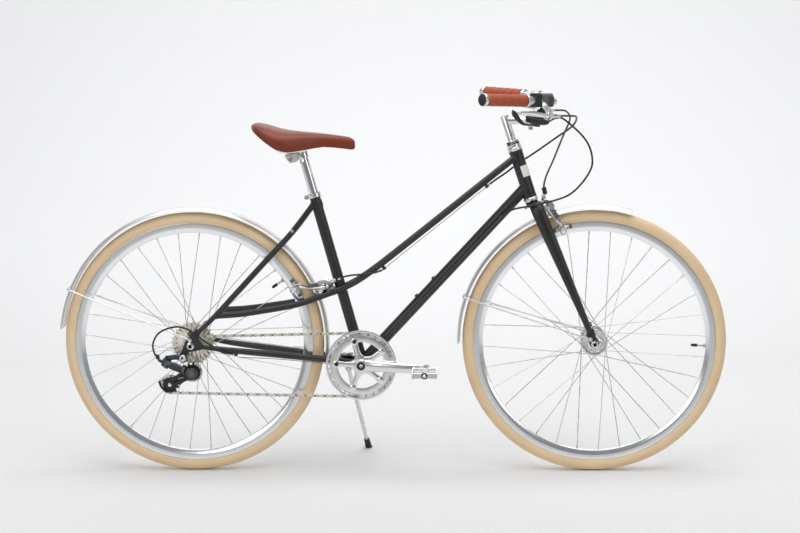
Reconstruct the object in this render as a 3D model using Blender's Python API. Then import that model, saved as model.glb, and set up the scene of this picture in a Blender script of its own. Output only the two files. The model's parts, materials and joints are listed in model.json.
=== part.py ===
# City bike with a low twin-tube frame, standing on its kickstand.
# Built in bike coordinates, in millimetres: x forward from midway between the wheels,
# y to the rider's left, z up from the floor. One parent empty then leans and centres it.
import bpy
import bmesh
import math
import numpy as np
from mathutils import Vector

MM = 0.001

# Wheels
WHEELBASE = 1058.0
TYRE_RADIUS = 346.0
TYRE_HALF_WIDTH = 17.3
TYRE_WALL = 28.6
RIM_DEPTH = 25.9
RIM_HALF_WIDTH = 12.4
WHEEL_SEGMENTS = 28
VALVE_LENGTH = 36.5
SPOKES = 32
SPOKE_RADIUS = 1.1
FRONT_FLANGE_Y = 33.0
FLANGE_HALF = 2.5
FRONT_FLANGE_RADIUS = 35.0
REAR_FLANGE_RIGHT_Y = -17.0
REAR_FLANGE_LEFT_Y = 33.0
REAR_FLANGE_RADIUS = 30.0
FRONT_DROPOUT_Y = 50.0
REAR_DROPOUT_Y = 67.5
DROPOUT_PLATE = 5.5
AXLE_RADIUS = 4.8
GAP = 0.35

# Frame
HEAD_ANGLE = math.radians(72.5)
RAKE = 44.4
CROWN_CLEARANCE = 44.0
CROWN_DEPTH = 24.0
HEAD_TUBE_LENGTH = 127.0
HEAD_TUBE_RADIUS = 17.5
HEAD_TUBE_BORE = 15.2
FRONT_BRAKE_GAP = 19.0
CHAINSTAY_REACH = 447.0
BRACKET_DROP = 55.0
BRACKET_RADIUS = 20.0
BRACKET_HALF_WIDTH = 34.0
SEAT_TUBE_SETBACK = 120.7
SEAT_TUBE_RISE = 440.0
SEAT_TUBE_RADIUS = 14.3
DOWN_TUBE_RADIUS = 15.0
SIDE_TUBE_RADIUS = 8.0
STAY_RADIUS = 7.6
BOTTLE_BOSSES = (228.0, 292.0)
BRIDGE_CLEARANCE = 48.8
SEAT_POST_RADIUS = 12.7
STEERER_RADIUS = 12.7
QUILL_RADIUS = 11.0

# Drive
CHAIN_PITCH = 12.7
CHAINRING_TEETH = 42
COG_TEETH = (11, 13, 15, 17, 19, 21, 24, 28)
COG_SPACING = 4.7
CHAINRING_Y = -47.5
SMALL_COG_Y = -58.5
CRANK_LENGTH = 170.0
CRANK_ANGLE = math.radians(-2.6)
GUARD_RADIUS = 93.0
JOCKEY_TEETH = 11
CHAIN_LINKS = 119
JOCKEY_AHEAD = 2.0
JOCKEY_DROP = 72.0
CAGE_LENGTH = 69.0
CAGE_ANGLE = math.radians(208.4)

# Mudguards
GUARD_CLEARANCE = 15.0
GUARD_DEPTH = 8.0
GUARD_HALF_WIDTH = 22.0
GUARD_SKIN = 1.5
FRONT_GUARD_SPAN = (73.5, 181.0)
REAR_GUARD_SPAN = (-8.0, 174.4)

# Cockpit
STEM_RISE = 84.0
STEM_REACH = 64.6
STEM_DROP = 22.0
BAR_RADIUS = 12.7
BAR_END_RADIUS = 11.1
BAR_BACK = 126.0
BAR_HALF_WIDTH = 275.0
BAR_RISE = 64.8
BAR_SWEEP = (-0.79, 0.61, 0.045)
GRIP_RADIUS = 15.6
GRIP_START = 9.4
GRIP_LENGTH = 124.7

# Stance on the kickstand
LEAN = math.radians(4.0)
STAND_REACH = 203.0
TREAD_HALF = 4.2
TREAD_DIP = TREAD_HALF * math.sin(LEAN)
SHIFT_X = 6.6
SHIFT_Y = -69.1
SHIFT_Z = TREAD_DIP

# Sizes that follow from the ones above
FRONT_X = WHEELBASE / 2
REAR_X = -WHEELBASE / 2
AXLE_Z = TYRE_RADIUS
RIM_OUTER = TYRE_RADIUS - TYRE_WALL
RIM_INNER = RIM_OUTER - RIM_DEPTH
BRACKET_X = REAR_X + CHAINSTAY_REACH
BRACKET_Z = AXLE_Z - BRACKET_DROP
BRAKE_HEIGHT = TYRE_RADIUS + CROWN_CLEARANCE
HEAD_TUBE_BOTTOM = BRAKE_HEIGHT + CROWN_DEPTH
HEAD_TUBE_TOP = HEAD_TUBE_BOTTOM + HEAD_TUBE_LENGTH
STEM_HEIGHT = HEAD_TUBE_TOP + STEM_RISE
UPPER_JOCKEY_X = REAR_X + JOCKEY_AHEAD
UPPER_JOCKEY_Z = AXLE_Z - JOCKEY_DROP
GUARD_CROWN = TYRE_RADIUS + GUARD_CLEARANCE
GUARD_EDGE = GUARD_CROWN - GUARD_DEPTH
SHOE_RADIUS = RIM_OUTER - 6.9


# Shape helpers: a solid is a pair (points, faces) in millimetres
def vec(*values):
    return np.array(values, dtype=float)


def unit(direction):
    direction = np.asarray(direction, dtype=float)
    return direction / np.linalg.norm(direction)


def outward(points, faces):
    points = np.asarray(points, dtype=float)
    volume = 0.0
    for face in faces:
        first = points[face[0]]
        for second, third in zip(face[1:-1], face[2:]):
            volume += np.dot(first, np.cross(points[second], points[third]))
    if volume < 0:
        faces = [tuple(reversed(face)) for face in faces]
    return points, [tuple(face) for face in faces]


def loft(rings, closed=False):
    # joins equal loops of points; open lofts get flat caps, closed ones run round
    count = len(rings[0])
    points = np.concatenate([np.asarray(ring, dtype=float) for ring in rings])
    faces = []
    last = len(rings) if closed else len(rings) - 1
    for row in range(last):
        here = row * count
        there = ((row + 1) % len(rings)) * count
        for k in range(count):
            n = (k + 1) % count
            faces.append((here + k, here + n, there + n, there + k))
    if not closed:
        faces.append(tuple(range(count - 1, -1, -1)))
        faces.append(tuple(range((len(rings) - 1) * count, len(rings) * count)))
    return outward(points, faces)


def sweep(path, radii, sides=8, flat=None, side=None, phase=0.5):
    # a round or oval bar along a path; flat gives the second half-width, side its direction
    path = np.asarray(path, dtype=float)
    count = len(path)
    radii = np.broadcast_to(np.asarray(radii, dtype=float), (count,))
    flat = radii if flat is None else np.broadcast_to(np.asarray(flat, dtype=float), (count,))
    steps = np.diff(path, axis=0)
    steps /= np.linalg.norm(steps, axis=1)[:, None]
    tangents = np.vstack([steps[:1], steps[:-1] + steps[1:], steps[-1:]])
    tangents /= np.linalg.norm(tangents, axis=1)[:, None]
    if side is None:
        guess = vec(0, 1, 0) if abs(tangents[0][1]) < 0.8 else vec(0, 0, 1)
    else:
        guess = np.asarray(side, dtype=float)
    rings = []
    for k in range(count):
        across = unit(guess - tangents[k] * np.dot(guess, tangents[k]))
        up = np.cross(tangents[k], across)
        if side is None:
            guess = across
        turn = (np.arange(sides) + phase) * 2 * math.pi / sides
        ring = path[k] + np.outer(np.cos(turn), across) * flat[k] + np.outer(np.sin(turn), up) * radii[k]
        rings.append(ring)
    return loft(rings)


def turned(profile, base, axis, sides=12, phase=0.5):
    # a solid turned about an axis from (distance along, radius) pairs
    axis = unit(axis)
    across = unit(np.cross(axis, vec(0, 0, 1) if abs(axis[2]) < 0.9 else vec(1, 0, 0)))
    up = np.cross(axis, across)
    turn = (np.arange(sides) + phase) * 2 * math.pi / sides
    circle = np.outer(np.cos(turn), across) + np.outer(np.sin(turn), up)
    rings = [np.asarray(base, dtype=float) + axis * along + circle * radius for along, radius in profile]
    return loft(rings)


def wheel_ring(profile, x, z, sides, phase=0.5):
    # a ring about a cross-ways axle from (radius, y) pairs; flats lie at the given radii
    rings = []
    for k in range(sides):
        turn = (k + phase) * 2 * math.pi / sides - math.pi / 2
        grow = 1 / math.cos(math.pi / sides)
        rings.append([(x + r * grow * math.cos(turn), y, z + r * grow * math.sin(turn)) for r, y in profile])
    return loft(rings, closed=True)


def hollow(profile, base, axis, sides=12, phase=0.5):
    # a ring turned about any axis from a closed loop of (distance along, radius) pairs
    axis = unit(axis)
    across = unit(np.cross(axis, vec(0, 0, 1) if abs(axis[2]) < 0.9 else vec(1, 0, 0)))
    up = np.cross(axis, across)
    rings = []
    for k in range(sides):
        turn = (k + phase) * 2 * math.pi / sides
        out = math.cos(turn) * across + math.sin(turn) * up
        rings.append([np.asarray(base, dtype=float) + axis * along + out * radius for along, radius in profile])
    return loft(rings, closed=True)


def plate(outline, y0, y1):
    # a flat plate lying in the bike's own plane, from an (x, z) outline
    return loft([[(x, y0, z) for x, z in outline], [(x, y1, z) for x, z in outline]])


def block(centre, size, forward=(1, 0, 0), up=(0, 0, 1)):
    # a box with its own directions
    forward = unit(forward)
    up = unit(np.asarray(up, dtype=float) - forward * np.dot(up, forward))
    left = np.cross(up, forward)
    half = np.asarray(size, dtype=float) / 2
    centre = np.asarray(centre, dtype=float)
    ring = [(-1, -1), (1, -1), (1, 1), (-1, 1)]
    rings = []
    for end in (-1, 1):
        rings.append([centre + forward * half[0] * end + left * half[1] * a + up * half[2] * b for a, b in ring])
    return loft(rings)


def smooth_path(corners, steps):
    # a soft curve through the corners, with even steps along it
    corners = np.asarray(corners, dtype=float)
    padded = np.vstack([2 * corners[0] - corners[1], corners, 2 * corners[-1] - corners[-2]])
    dense = []
    for k in range(1, len(padded) - 2):
        a, b, c, d = padded[k - 1], padded[k], padded[k + 1], padded[k + 2]
        for t in np.linspace(0, 1, 24, endpoint=False):
            dense.append(0.5 * (2 * b + (c - a) * t + (2 * a - 5 * b + 4 * c - d) * t ** 2
                                + (3 * b - a - 3 * c + d) * t ** 3))
    dense.append(padded[-2])
    dense = np.array(dense)
    run = np.concatenate([[0], np.cumsum(np.linalg.norm(np.diff(dense, axis=0), axis=1))])
    want = np.linspace(0, run[-1], steps)
    return np.stack([np.interp(want, run, dense[:, k]) for k in range(3)], axis=1)


def mirrored(solid):
    points, faces = solid
    return outward(np.asarray(points) * vec(1, -1, 1), faces)


def clear_of(radius, sides, gap=GAP):
    # corner radius of a many-sided hole whose flats stay clear of a round bar
    return (radius + gap) / math.cos(math.pi / sides)


def moved(solid, shift):
    points, faces = solid
    return np.asarray(points) + np.asarray(shift, dtype=float), faces


# Scene helpers
def clear_scene():
    for thing in list(bpy.data.objects):
        bpy.data.objects.remove(thing)


def mesh_object(name, solid):
    points, faces = solid
    mesh = bpy.data.meshes.new(name)
    mesh.from_pydata([tuple(p * MM) for p in np.asarray(points, dtype=float)], [], faces)
    mesh.validate()
    thing = bpy.data.objects.new(name, mesh)
    bpy.context.scene.collection.objects.link(thing)
    return thing


def combine(name, solids, cutters=()):
    # joins the solids into one body, then takes the cutters away from it
    target = mesh_object(name, solids[0])
    helpers = []
    for operation, group in (("UNION", solids[1:]), ("DIFFERENCE", cutters)):
        for k, solid in enumerate(group):
            helper = mesh_object(name + "_helper", solid)
            modifier = target.modifiers.new(operation, "BOOLEAN")
            modifier.operation = operation
            modifier.solver = "EXACT"
            modifier.object = helper
            helpers.append(helper)
    if helpers:
        graph = bpy.context.evaluated_depsgraph_get()
        mesh = bpy.data.meshes.new_from_object(target.evaluated_get(graph))
        target.modifiers.clear()
        target.data = mesh
        mesh.name = name
        for helper in helpers:
            bpy.data.objects.remove(helper)
    work = bmesh.new()
    work.from_mesh(target.data)
    bmesh.ops.remove_doubles(work, verts=work.verts, dist=2e-6)
    bmesh.ops.dissolve_degenerate(work, edges=work.edges, dist=1e-6)
    bmesh.ops.recalc_face_normals(work, faces=work.faces)
    work.to_mesh(target.data)
    work.free()
    return target


FINISHES = {
    "black_paint": ((0.018, 0.018, 0.02), 0.42, 0.0),
    "silver": ((0.72, 0.72, 0.71), 0.28, 1.0),
    "polished": ((0.8, 0.8, 0.79), 0.15, 1.0),
    "steel": ((0.55, 0.54, 0.52), 0.3, 1.0),
    "nickel": ((0.62, 0.57, 0.48), 0.35, 1.0),
    "dark_grey": ((0.06, 0.062, 0.068), 0.45, 0.0),
    "black_plastic": ((0.02, 0.02, 0.021), 0.5, 0.0),
    "black_rubber": ((0.025, 0.025, 0.025), 0.8, 0.0),
    "tan_tyre": ((0.62, 0.42, 0.22), 0.75, 0.0),
    "brown_leather": ((0.33, 0.1, 0.045), 0.5, 0.0),
    "cream_plastic": ((0.6, 0.56, 0.48), 0.5, 0.0),
}


def finish(name):
    material = bpy.data.materials.get(name)
    if material is None:
        material = bpy.data.materials.new(name)
        material.use_nodes = True
        shader = material.node_tree.nodes["Principled BSDF"]
        colour, roughness, metallic = FINISHES[name]
        shader.inputs["Base Color"].default_value = (*colour, 1)
        shader.inputs["Roughness"].default_value = roughness
        shader.inputs["Metallic"].default_value = metallic
        material.diffuse_color = (*colour, 1)
    return material


def node(name, solids, look, origin=(0, 0, 0), cutters=(), smooth=35):
    # one real piece: joined, given its finish, its origin set and hung on the stance empty
    thing = combine(name, solids, cutters)
    thing.data.materials.clear()
    thing.data.materials.append(finish(look))
    shift = Vector(origin) * MM
    for vertex in thing.data.vertices:
        vertex.co -= shift
    thing.location = shift
    thing.parent = STANCE
    thing.data.polygons.foreach_set("use_smooth", [True] * len(thing.data.polygons))
    thing.data.set_sharp_from_angle(angle=math.radians(smooth))
    return thing


clear_scene()
STANCE = bpy.data.objects.new("stance", None)
bpy.context.scene.collection.objects.link(STANCE)
STANCE.rotation_euler = (-LEAN, 0, 0)
STANCE.location = (SHIFT_X * MM, SHIFT_Y * MM, SHIFT_Z * MM)

UP_STEER = vec(-math.cos(HEAD_ANGLE), 0, math.sin(HEAD_ANGLE))
OUT_STEER = vec(math.sin(HEAD_ANGLE), 0, math.cos(HEAD_ANGLE))
STEER_FOOT = vec(FRONT_X, 0, AXLE_Z) - OUT_STEER * RAKE
BRACKET = vec(BRACKET_X, 0, BRACKET_Z)
SEAT_TOP = BRACKET + vec(-SEAT_TUBE_SETBACK, 0, SEAT_TUBE_RISE)
UP_SEAT = unit(SEAT_TOP - BRACKET)


def steer(height, out=0.0, y=0.0):
    # a point measured up the steering axis, forward of it and across
    return STEER_FOOT + UP_STEER * height + OUT_STEER * out + vec(0, y, 0)


def rear(ahead, y, above):
    # a point measured from the middle of the rear axle
    return vec(REAR_X + ahead, y, AXLE_Z + above)


def hang(ahead, y, above):
    # a point measured from the middle of the bottom bracket
    return BRACKET + vec(ahead, y, above)


# The side tubes leave the head tube straight and bend where they meet the seat tube
SIDE_START = steer(HEAD_TUBE_TOP - 14.8, -1.52)
SIDE_BEND = hang(37, 0, 251)
SIDE_RUN = unit(SIDE_START - SIDE_BEND)
SIDE_UNDER = vec(SIDE_RUN[2], 0, -SIDE_RUN[0])

# Cable stops under the right-hand side tube, and the bare wire's line between them
UPPER_STOP = SIDE_START - SIDE_RUN * 108.4 + SIDE_UNDER * 12.9 + vec(0, -22, 0)
LOWER_STOP = SIDE_BEND + SIDE_RUN * 20.6 + SIDE_UNDER * 14.3 + vec(0, -24, 0)
WIRE_RUN = unit(UPPER_STOP - LOWER_STOP)
CLAMP = steer(STEM_HEIGHT - STEM_DROP, STEM_REACH)
BAR_END = CLAMP + vec(-BAR_BACK, BAR_HALF_WIDTH, BAR_RISE)

HANGER = rear(-20, 0, -31)


def both_sides(solid):
    return [solid, mirrored(solid)]


def together(solids):
    # several solids that stay clear of each other, handled as one
    points = []
    faces = []
    start = 0
    for some, loops in solids:
        points.append(np.asarray(some))
        faces += [tuple(start + corner for corner in loop) for loop in loops]
        start += len(some)
    return np.concatenate(points), faces


# Frame: tubes, stays, bridges, dropouts and small fittings, brazed into one piece
def side_tube_path():
    straight = [SIDE_START + (SIDE_BEND - SIDE_START) * share + vec(0, y, 0)
                for share, y in ((0, 14), (0.175, 18.5), (0.503, 20.5), (0.832, 20.5), (1, 20.5))]
    behind = [hang(-14, 20.6, 216.5), hang(-53, 21.2, 198), hang(-103, 29.5, 180), rear(277, 38, 104),
              rear(206, 44.5, 91.5), rear(129, 51, 81), rear(66, 57, 77.5)]
    return smooth_path(straight + behind, 11)


def bridge_place():
    # the bridge joins the side tubes where they pass at its clearance from the tyre
    path = side_tube_path()[::-1]
    away = np.hypot(path[:, 0] - REAR_X, path[:, 2] - AXLE_Z)
    return vec(*(np.interp(TYRE_RADIUS + BRIDGE_CLEARANCE, away, path[:, k]) for k in range(3)))


# The rear brake's bolt goes through the bridge behind the seat tube, square to the tyre
BRIDGE_END = bridge_place()
BRIDGE = BRIDGE_END * vec(1, 0, 1)
BRIDGE_ANGLE = math.degrees(math.atan2(BRIDGE[2] - AXLE_Z, BRIDGE[0] - REAR_X))
LIFT_ANGLE = math.radians(BRIDGE_ANGLE + 97.8)
BRIDGE_LIFT = vec(math.cos(LIFT_ANGLE), 0, math.sin(LIFT_ANGLE))


def rear_dropout(sign):
    # measured from the axle; the right-hand one reaches down to carry the derailleur
    outline = [(9, 38), (21, 46), (30, 38), (19, 20), (31, 6), (32, -9), (17, -13)]
    if sign > 0:
        outline += [(-1, -15), (-16, -11), (-19, 4), (-12, 16)]
    else:
        outline += [(-1, -14), (-12, -24), (-12, -37), (-20, -40.5), (-29, -37), (-31, -26), (-19, -3), (-12, 14)]
    inner = REAR_DROPOUT_Y * sign
    return plate([(REAR_X + x, AXLE_Z + z) for x, z in outline], inner, inner + DROPOUT_PLATE * sign)


def down_tube_run():
    return unit(steer(HEAD_TUBE_BOTTOM + 24) - BRACKET)


def down_tube_stop():
    # the gear cable's housing ends here, beside the down tube
    return steer(HEAD_TUBE_BOTTOM + 24) - down_tube_run() * 101


def build_frame():
    top = SEAT_TOP - UP_SEAT * 6
    solids = [
        turned([(HEAD_TUBE_BOTTOM, HEAD_TUBE_RADIUS), (HEAD_TUBE_TOP, HEAD_TUBE_RADIUS)], STEER_FOOT, UP_STEER, 14),
        sweep([BRACKET, steer(HEAD_TUBE_BOTTOM + 28, -2)], DOWN_TUBE_RADIUS, 12),
        sweep([BRACKET, SEAT_TOP], SEAT_TUBE_RADIUS, 12),
        turned([(-BRACKET_HALF_WIDTH, BRACKET_RADIUS), (BRACKET_HALF_WIDTH, BRACKET_RADIUS)], BRACKET, (0, 1, 0), 14),
    ]
    side = sweep(side_tube_path(), SIDE_TUBE_RADIUS, 8)
    stay_end = REAR_DROPOUT_Y + 1.8
    seat_stay = sweep(smooth_path([top + vec(-3, 10, -22), rear(267, 29.5, 293), rear(194, 38, 215),
                                   rear(74, 57, 87), rear(18, stay_end, 33)], 7), [STAY_RADIUS] * 5 + [6.8, 5.6], 6)
    chain_stay = sweep(smooth_path([hang(-10, 19, 1), hang(-53, 29, 7), hang(-98, 33.5, 12.5), hang(-218, 42, 26),
                                    rear(89, 58, -12.5), rear(25, stay_end, -2.5)], 7),
                       [8.5, 8.3, 8.6, 8.6, 8.0, 7.0, 5.6], 6)
    for solid in (side, seat_stay, chain_stay):
        solids += both_sides(solid)
    solids += [rear_dropout(-1), rear_dropout(1)]
    solids.append(sweep([rear(250.6, -31, 275.6), rear(250.6, 31, 275.6)], 5.0, 6))
    solids.append(sweep([BRIDGE_END * vec(1, -1, 1), BRIDGE_END], 7.0, 6))
    solids.append(sweep([hang(-64, -29, 9), hang(-64, 29, 9)], 7.0, 6))
    along = down_tube_run()
    outside = unit(vec(-along[2], 0, along[0]))
    for distance in BOTTLE_BOSSES:
        foot = BRACKET + along * distance
        solids.append(turned([(DOWN_TUBE_RADIUS - 2, 6.0), (DOWN_TUBE_RADIUS + 1.6, 6.0), (DOWN_TUBE_RADIUS + 1.6, 4.2),
                              (DOWN_TUBE_RADIUS + 4.4, 4.2)], foot, outside, 6))
    badge = steer(HEAD_TUBE_TOP - 44, HEAD_TUBE_RADIUS - 1.5)
    solids.append(block(badge, (5.0, 18, 26), OUT_STEER, UP_STEER))
    for stop in (UPPER_STOP, LOWER_STOP):
        solids.append(block(stop - SIDE_UNDER * 4.5, (9, 6, 17), WIRE_RUN, -SIDE_UNDER))
    solids.append(block(down_tube_stop() + vec(0, -15, 0), (10, 8, 9), along))
    solids.append(block(rear(117, -55.5, -24.5), (10, 7, 12), (-0.99, -0.1, 0.12)))
    solids.append(turned([(-1, 4.0), (9, 4.0)], rear(269, -35, 296), (0, -1, 0), 6))
    solids.append(turned([(-1, 4.0), (9, 4.0)], rear(269, 35, 296), (0, 1, 0), 6))
    cutters = [
        turned([(HEAD_TUBE_BOTTOM - 5, HEAD_TUBE_BORE), (HEAD_TUBE_TOP + 5, HEAD_TUBE_BORE)], STEER_FOOT, UP_STEER, 14),
        turned([(-BRACKET_HALF_WIDTH - 5, 9.0), (BRACKET_HALF_WIDTH + 5, 9.0)], BRACKET, (0, 1, 0), 12),
        turned([(-330, SEAT_POST_RADIUS + GAP), (10, SEAT_POST_RADIUS + GAP)], SEAT_TOP, UP_SEAT, 12),
        turned([(-80, clear_of(AXLE_RADIUS, 8)), (80, clear_of(AXLE_RADIUS, 8))], (REAR_X, 0, AXLE_Z), (0, 1, 0), 8),
        turned([(-80, 3.4), (0, 3.4)], HANGER, (0, 1, 0), 8),
        turned([(-20, 3.4), (20, 3.4)], BRIDGE, BRIDGE_LIFT, 8),
    ]
    cutters += [turned([(-9, 1.6), (9, 1.6)], stop, WIRE_RUN, 6) for stop in (UPPER_STOP, LOWER_STOP)]
    return node("frame", solids, "black_paint", cutters=cutters)


def build_headset():
    node("headset_lower_cup", [hollow([(HEAD_TUBE_BOTTOM - 0.3, HEAD_TUBE_RADIUS), (HEAD_TUBE_BOTTOM - 0.3, 13.2),
                                       (HEAD_TUBE_BOTTOM - 10, 13.2), (HEAD_TUBE_BOTTOM - 11, 19.5),
                                       (HEAD_TUBE_BOTTOM - 5, 20.5)], STEER_FOOT, UP_STEER, 14)], "polished")
    node("headset_upper_cup", [hollow([(HEAD_TUBE_TOP + 0.3, HEAD_TUBE_RADIUS), (HEAD_TUBE_TOP + 0.3, 13.2),
                                       (HEAD_TUBE_TOP + 9.5, 13.2), (HEAD_TUBE_TOP + 10.5, 19.0),
                                       (HEAD_TUBE_TOP + 5, 20.5)], STEER_FOOT, UP_STEER, 14)], "polished")
    start = HEAD_TUBE_TOP + 11
    node("headset_locknut", [hollow([(start, 19.0), (start, 13.1), (start + 17, 13.1), (start + 17, 16.5),
                                     (start + 9.5, 16.8), (start + 9.5, 18.6), (start + 7, 18.6)],
                                    STEER_FOOT, UP_STEER, 14)],
         "steel", origin=steer(start))


# Fork: steerer, bent crown and two straight tapering blades with dropouts
def build_fork():
    crown = BRAKE_HEIGHT
    blade = smooth_path([steer(crown, 2, 8), steer(crown - 2, 5, 25), steer(crown - 14, 8, 38), steer(crown - 44, 12, 41),
                         steer(190, 27, 46.5), steer(30, RAKE - 2.4, FRONT_DROPOUT_Y + 2.5)], 8)
    wide = np.interp(np.linspace(0, 1, 8), [0, 0.2, 0.35, 1], [12.5, 14.5, 14.0, 7.0])
    thin = np.interp(np.linspace(0, 1, 8), [0, 0.2, 0.35, 1], [10.0, 10.5, 10.0, 6.0])
    seat = HEAD_TUBE_BOTTOM - 11.4
    solids = [turned([(crown, 15.5), (crown + 9, 16.5), (seat, 16.5), (seat, STEERER_RADIUS),
                      (HEAD_TUBE_TOP + 26, STEERER_RADIUS)], STEER_FOOT, UP_STEER, 12)]
    solids += both_sides(sweep(blade, thin, 8, flat=wide, side=OUT_STEER))
    tip = vec(FRONT_X, 0, AXLE_Z)
    outline = []
    for out, up in ((-9, 42), (9, 42), (8, 14), (12, 3), (9, -9), (-2, -12), (-11, -6), (-12, 6), (-13, 20)):
        spot = tip + OUT_STEER * out + UP_STEER * up
        outline.append((spot[0], spot[2]))
    solids += both_sides(plate(outline, FRONT_DROPOUT_Y, FRONT_DROPOUT_Y + DROPOUT_PLATE))
    cutters = [turned([(HEAD_TUBE_BOTTOM + 6, QUILL_RADIUS + GAP), (HEAD_TUBE_TOP + 40, QUILL_RADIUS + GAP)], STEER_FOOT, UP_STEER, 12),
               turned([(-80, clear_of(AXLE_RADIUS, 8)), (80, clear_of(AXLE_RADIUS, 8))], tip, (0, 1, 0), 8),
               turned([(-30, 3.4), (40, 3.4)], steer(BRAKE_HEIGHT), OUT_STEER, 8)]
    node("fork", solids, "black_paint", origin=steer(HEAD_TUBE_BOTTOM), cutters=cutters)


# Wheels
def tyre_profile():
    bead = RIM_OUTER - 3.4
    outside = [(bead, RIM_HALF_WIDTH - 4.6), (RIM_OUTER + 1, RIM_HALF_WIDTH - 2.8), (TYRE_RADIUS - 19, TYRE_HALF_WIDTH),
               (TYRE_RADIUS - 7, TYRE_HALF_WIDTH - 3.3), (TYRE_RADIUS, TREAD_HALF)]
    inside = [(TYRE_RADIUS - 14, TYRE_HALF_WIDTH - 5.3), (bead, RIM_HALF_WIDTH - 7.8)]
    loop = [(r, y) for r, y in outside] + [(r, -y) for r, y in reversed(outside)]
    loop += [(r, -y) for r, y in reversed(inside)] + inside
    return loop


def rim_profile():
    half = RIM_HALF_WIDTH
    right = [(RIM_OUTER, half), (RIM_OUTER, half - 2.3)]
    shoulder = RIM_INNER + RIM_DEPTH * 0.444
    bottom = [(RIM_INNER, -6.0), (RIM_INNER, 6.0), (shoulder, half)]
    return (right + [(RIM_INNER + 5.5, 0.0)] + [(r, -y) for r, y in reversed(right)] + [(shoulder, -half)] + bottom)


def valve(x, angle):
    out = vec(math.cos(angle), 0, math.sin(angle))
    tip = RIM_INNER - VALVE_LENGTH
    return turned([(tip, 2.3), (tip + 11, 2.6), (tip + 11.2, 3.4), (RIM_INNER + 8.5, 3.4)], vec(x, 0, AXLE_Z), out, 6)


def spokes(x, flanges, flange_radius, first_angle):
    # three-cross lacing: neighbours leave opposite sides, and lean opposite ways
    made = []
    swing = math.radians(67.5)
    hole = flange_radius - 4.0
    for k in range(SPOKES):
        side = flanges[k % 2]
        sign = -1 if side < 0 else 1
        leads = (k // 2) % 2 == 0
        at_rim = first_angle + 2 * math.pi * k / SPOKES
        at_hub = at_rim + (swing if leads else -swing)
        off = FLANGE_HALF - 0.6 if leads else 0.6 - FLANGE_HALF
        centre = vec(x, 0, AXLE_Z)
        start = centre + vec(math.cos(at_hub) * hole, side + sign * off, math.sin(at_hub) * hole)
        reach = RIM_INNER - 0.5
        end = centre + vec(math.cos(at_rim) * reach, sign * 2.0, math.sin(at_rim) * reach)
        made.append(sweep([start, end], SPOKE_RADIUS, 3, side=(0, 1, 0), phase=0.25))
    return made


def hub_profile(flanges, radius, ends):
    right, left = flanges
    half = FLANGE_HALF
    return [(ends[0], 5.3), (ends[0], 11.0), (right - half, 12.5), (right - half, radius), (right + half, radius),
            (right + half + 1, 15.0), (left - half - 1, 15.0), (left - half, radius),
            (left + half, radius), (left + half, 12.5), (ends[1], 11.0), (ends[1], 5.3)]


def build_wheel(name, x, flanges, radius, ends, first_spoke, valve_angle):
    centre = (x, 0, AXLE_Z)
    node(name + "_tyre", [wheel_ring(tyre_profile(), x, AXLE_Z, WHEEL_SEGMENTS)], "tan_tyre", centre, smooth=50)
    node(name + "_rim", [wheel_ring(rim_profile(), x, AXLE_Z, WHEEL_SEGMENTS), valve(x, valve_angle)],
         "silver", centre)
    hub = hollow(hub_profile(flanges, radius, ends), centre, (0, 1, 0), 12)
    node(name + "_hub", [hub, together(spokes(x, flanges, radius, first_spoke))], "polished", centre)


def build_axle(name, x, dropout_y, right_end, left_end, nut_radius):
    out = dropout_y + DROPOUT_PLATE + GAP
    profile = [(-out - 12, AXLE_RADIUS), (-out - 8.5, AXLE_RADIUS), (-out - 8.5, nut_radius), (-out, nut_radius),
               (-out, AXLE_RADIUS), (-dropout_y + GAP, AXLE_RADIUS), (-dropout_y + GAP, 7.6), (right_end, 7.6),
               (right_end, AXLE_RADIUS), (left_end, AXLE_RADIUS), (left_end, 7.6), (dropout_y - GAP, 7.6),
               (dropout_y - GAP, AXLE_RADIUS), (out, AXLE_RADIUS), (out, nut_radius), (out + 8.5, nut_radius),
               (out + 8.5, AXLE_RADIUS), (out + 12, AXLE_RADIUS)]
    node(name, [turned(profile, (x, 0, AXLE_Z), (0, 1, 0), 6)], "steel", (x, 0, AXLE_Z))


# Mudguards and their stays
def guard_profile():
    outer = [(GUARD_EDGE, -GUARD_HALF_WIDTH), (GUARD_CROWN - 2.2, -15.0), (GUARD_CROWN, 0.0),
             (GUARD_CROWN - 2.2, 15.0), (GUARD_EDGE, GUARD_HALF_WIDTH)]
    inner = [(r - GUARD_SKIN, y * 0.985) for r, y in reversed(outer)]
    return outer + inner


def guard_arc(x, span, steps):
    rings = []
    for angle in np.radians(np.linspace(span[0], span[1], steps)):
        rings.append([(x + r * math.cos(angle), y, AXLE_Z + r * math.sin(angle)) for r, y in guard_profile()])
    return loft(rings)


def around(x, radius, degrees, y=0.0):
    angle = math.radians(degrees)
    return vec(x + radius * math.cos(angle), y, AXLE_Z + radius * math.sin(angle))


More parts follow.
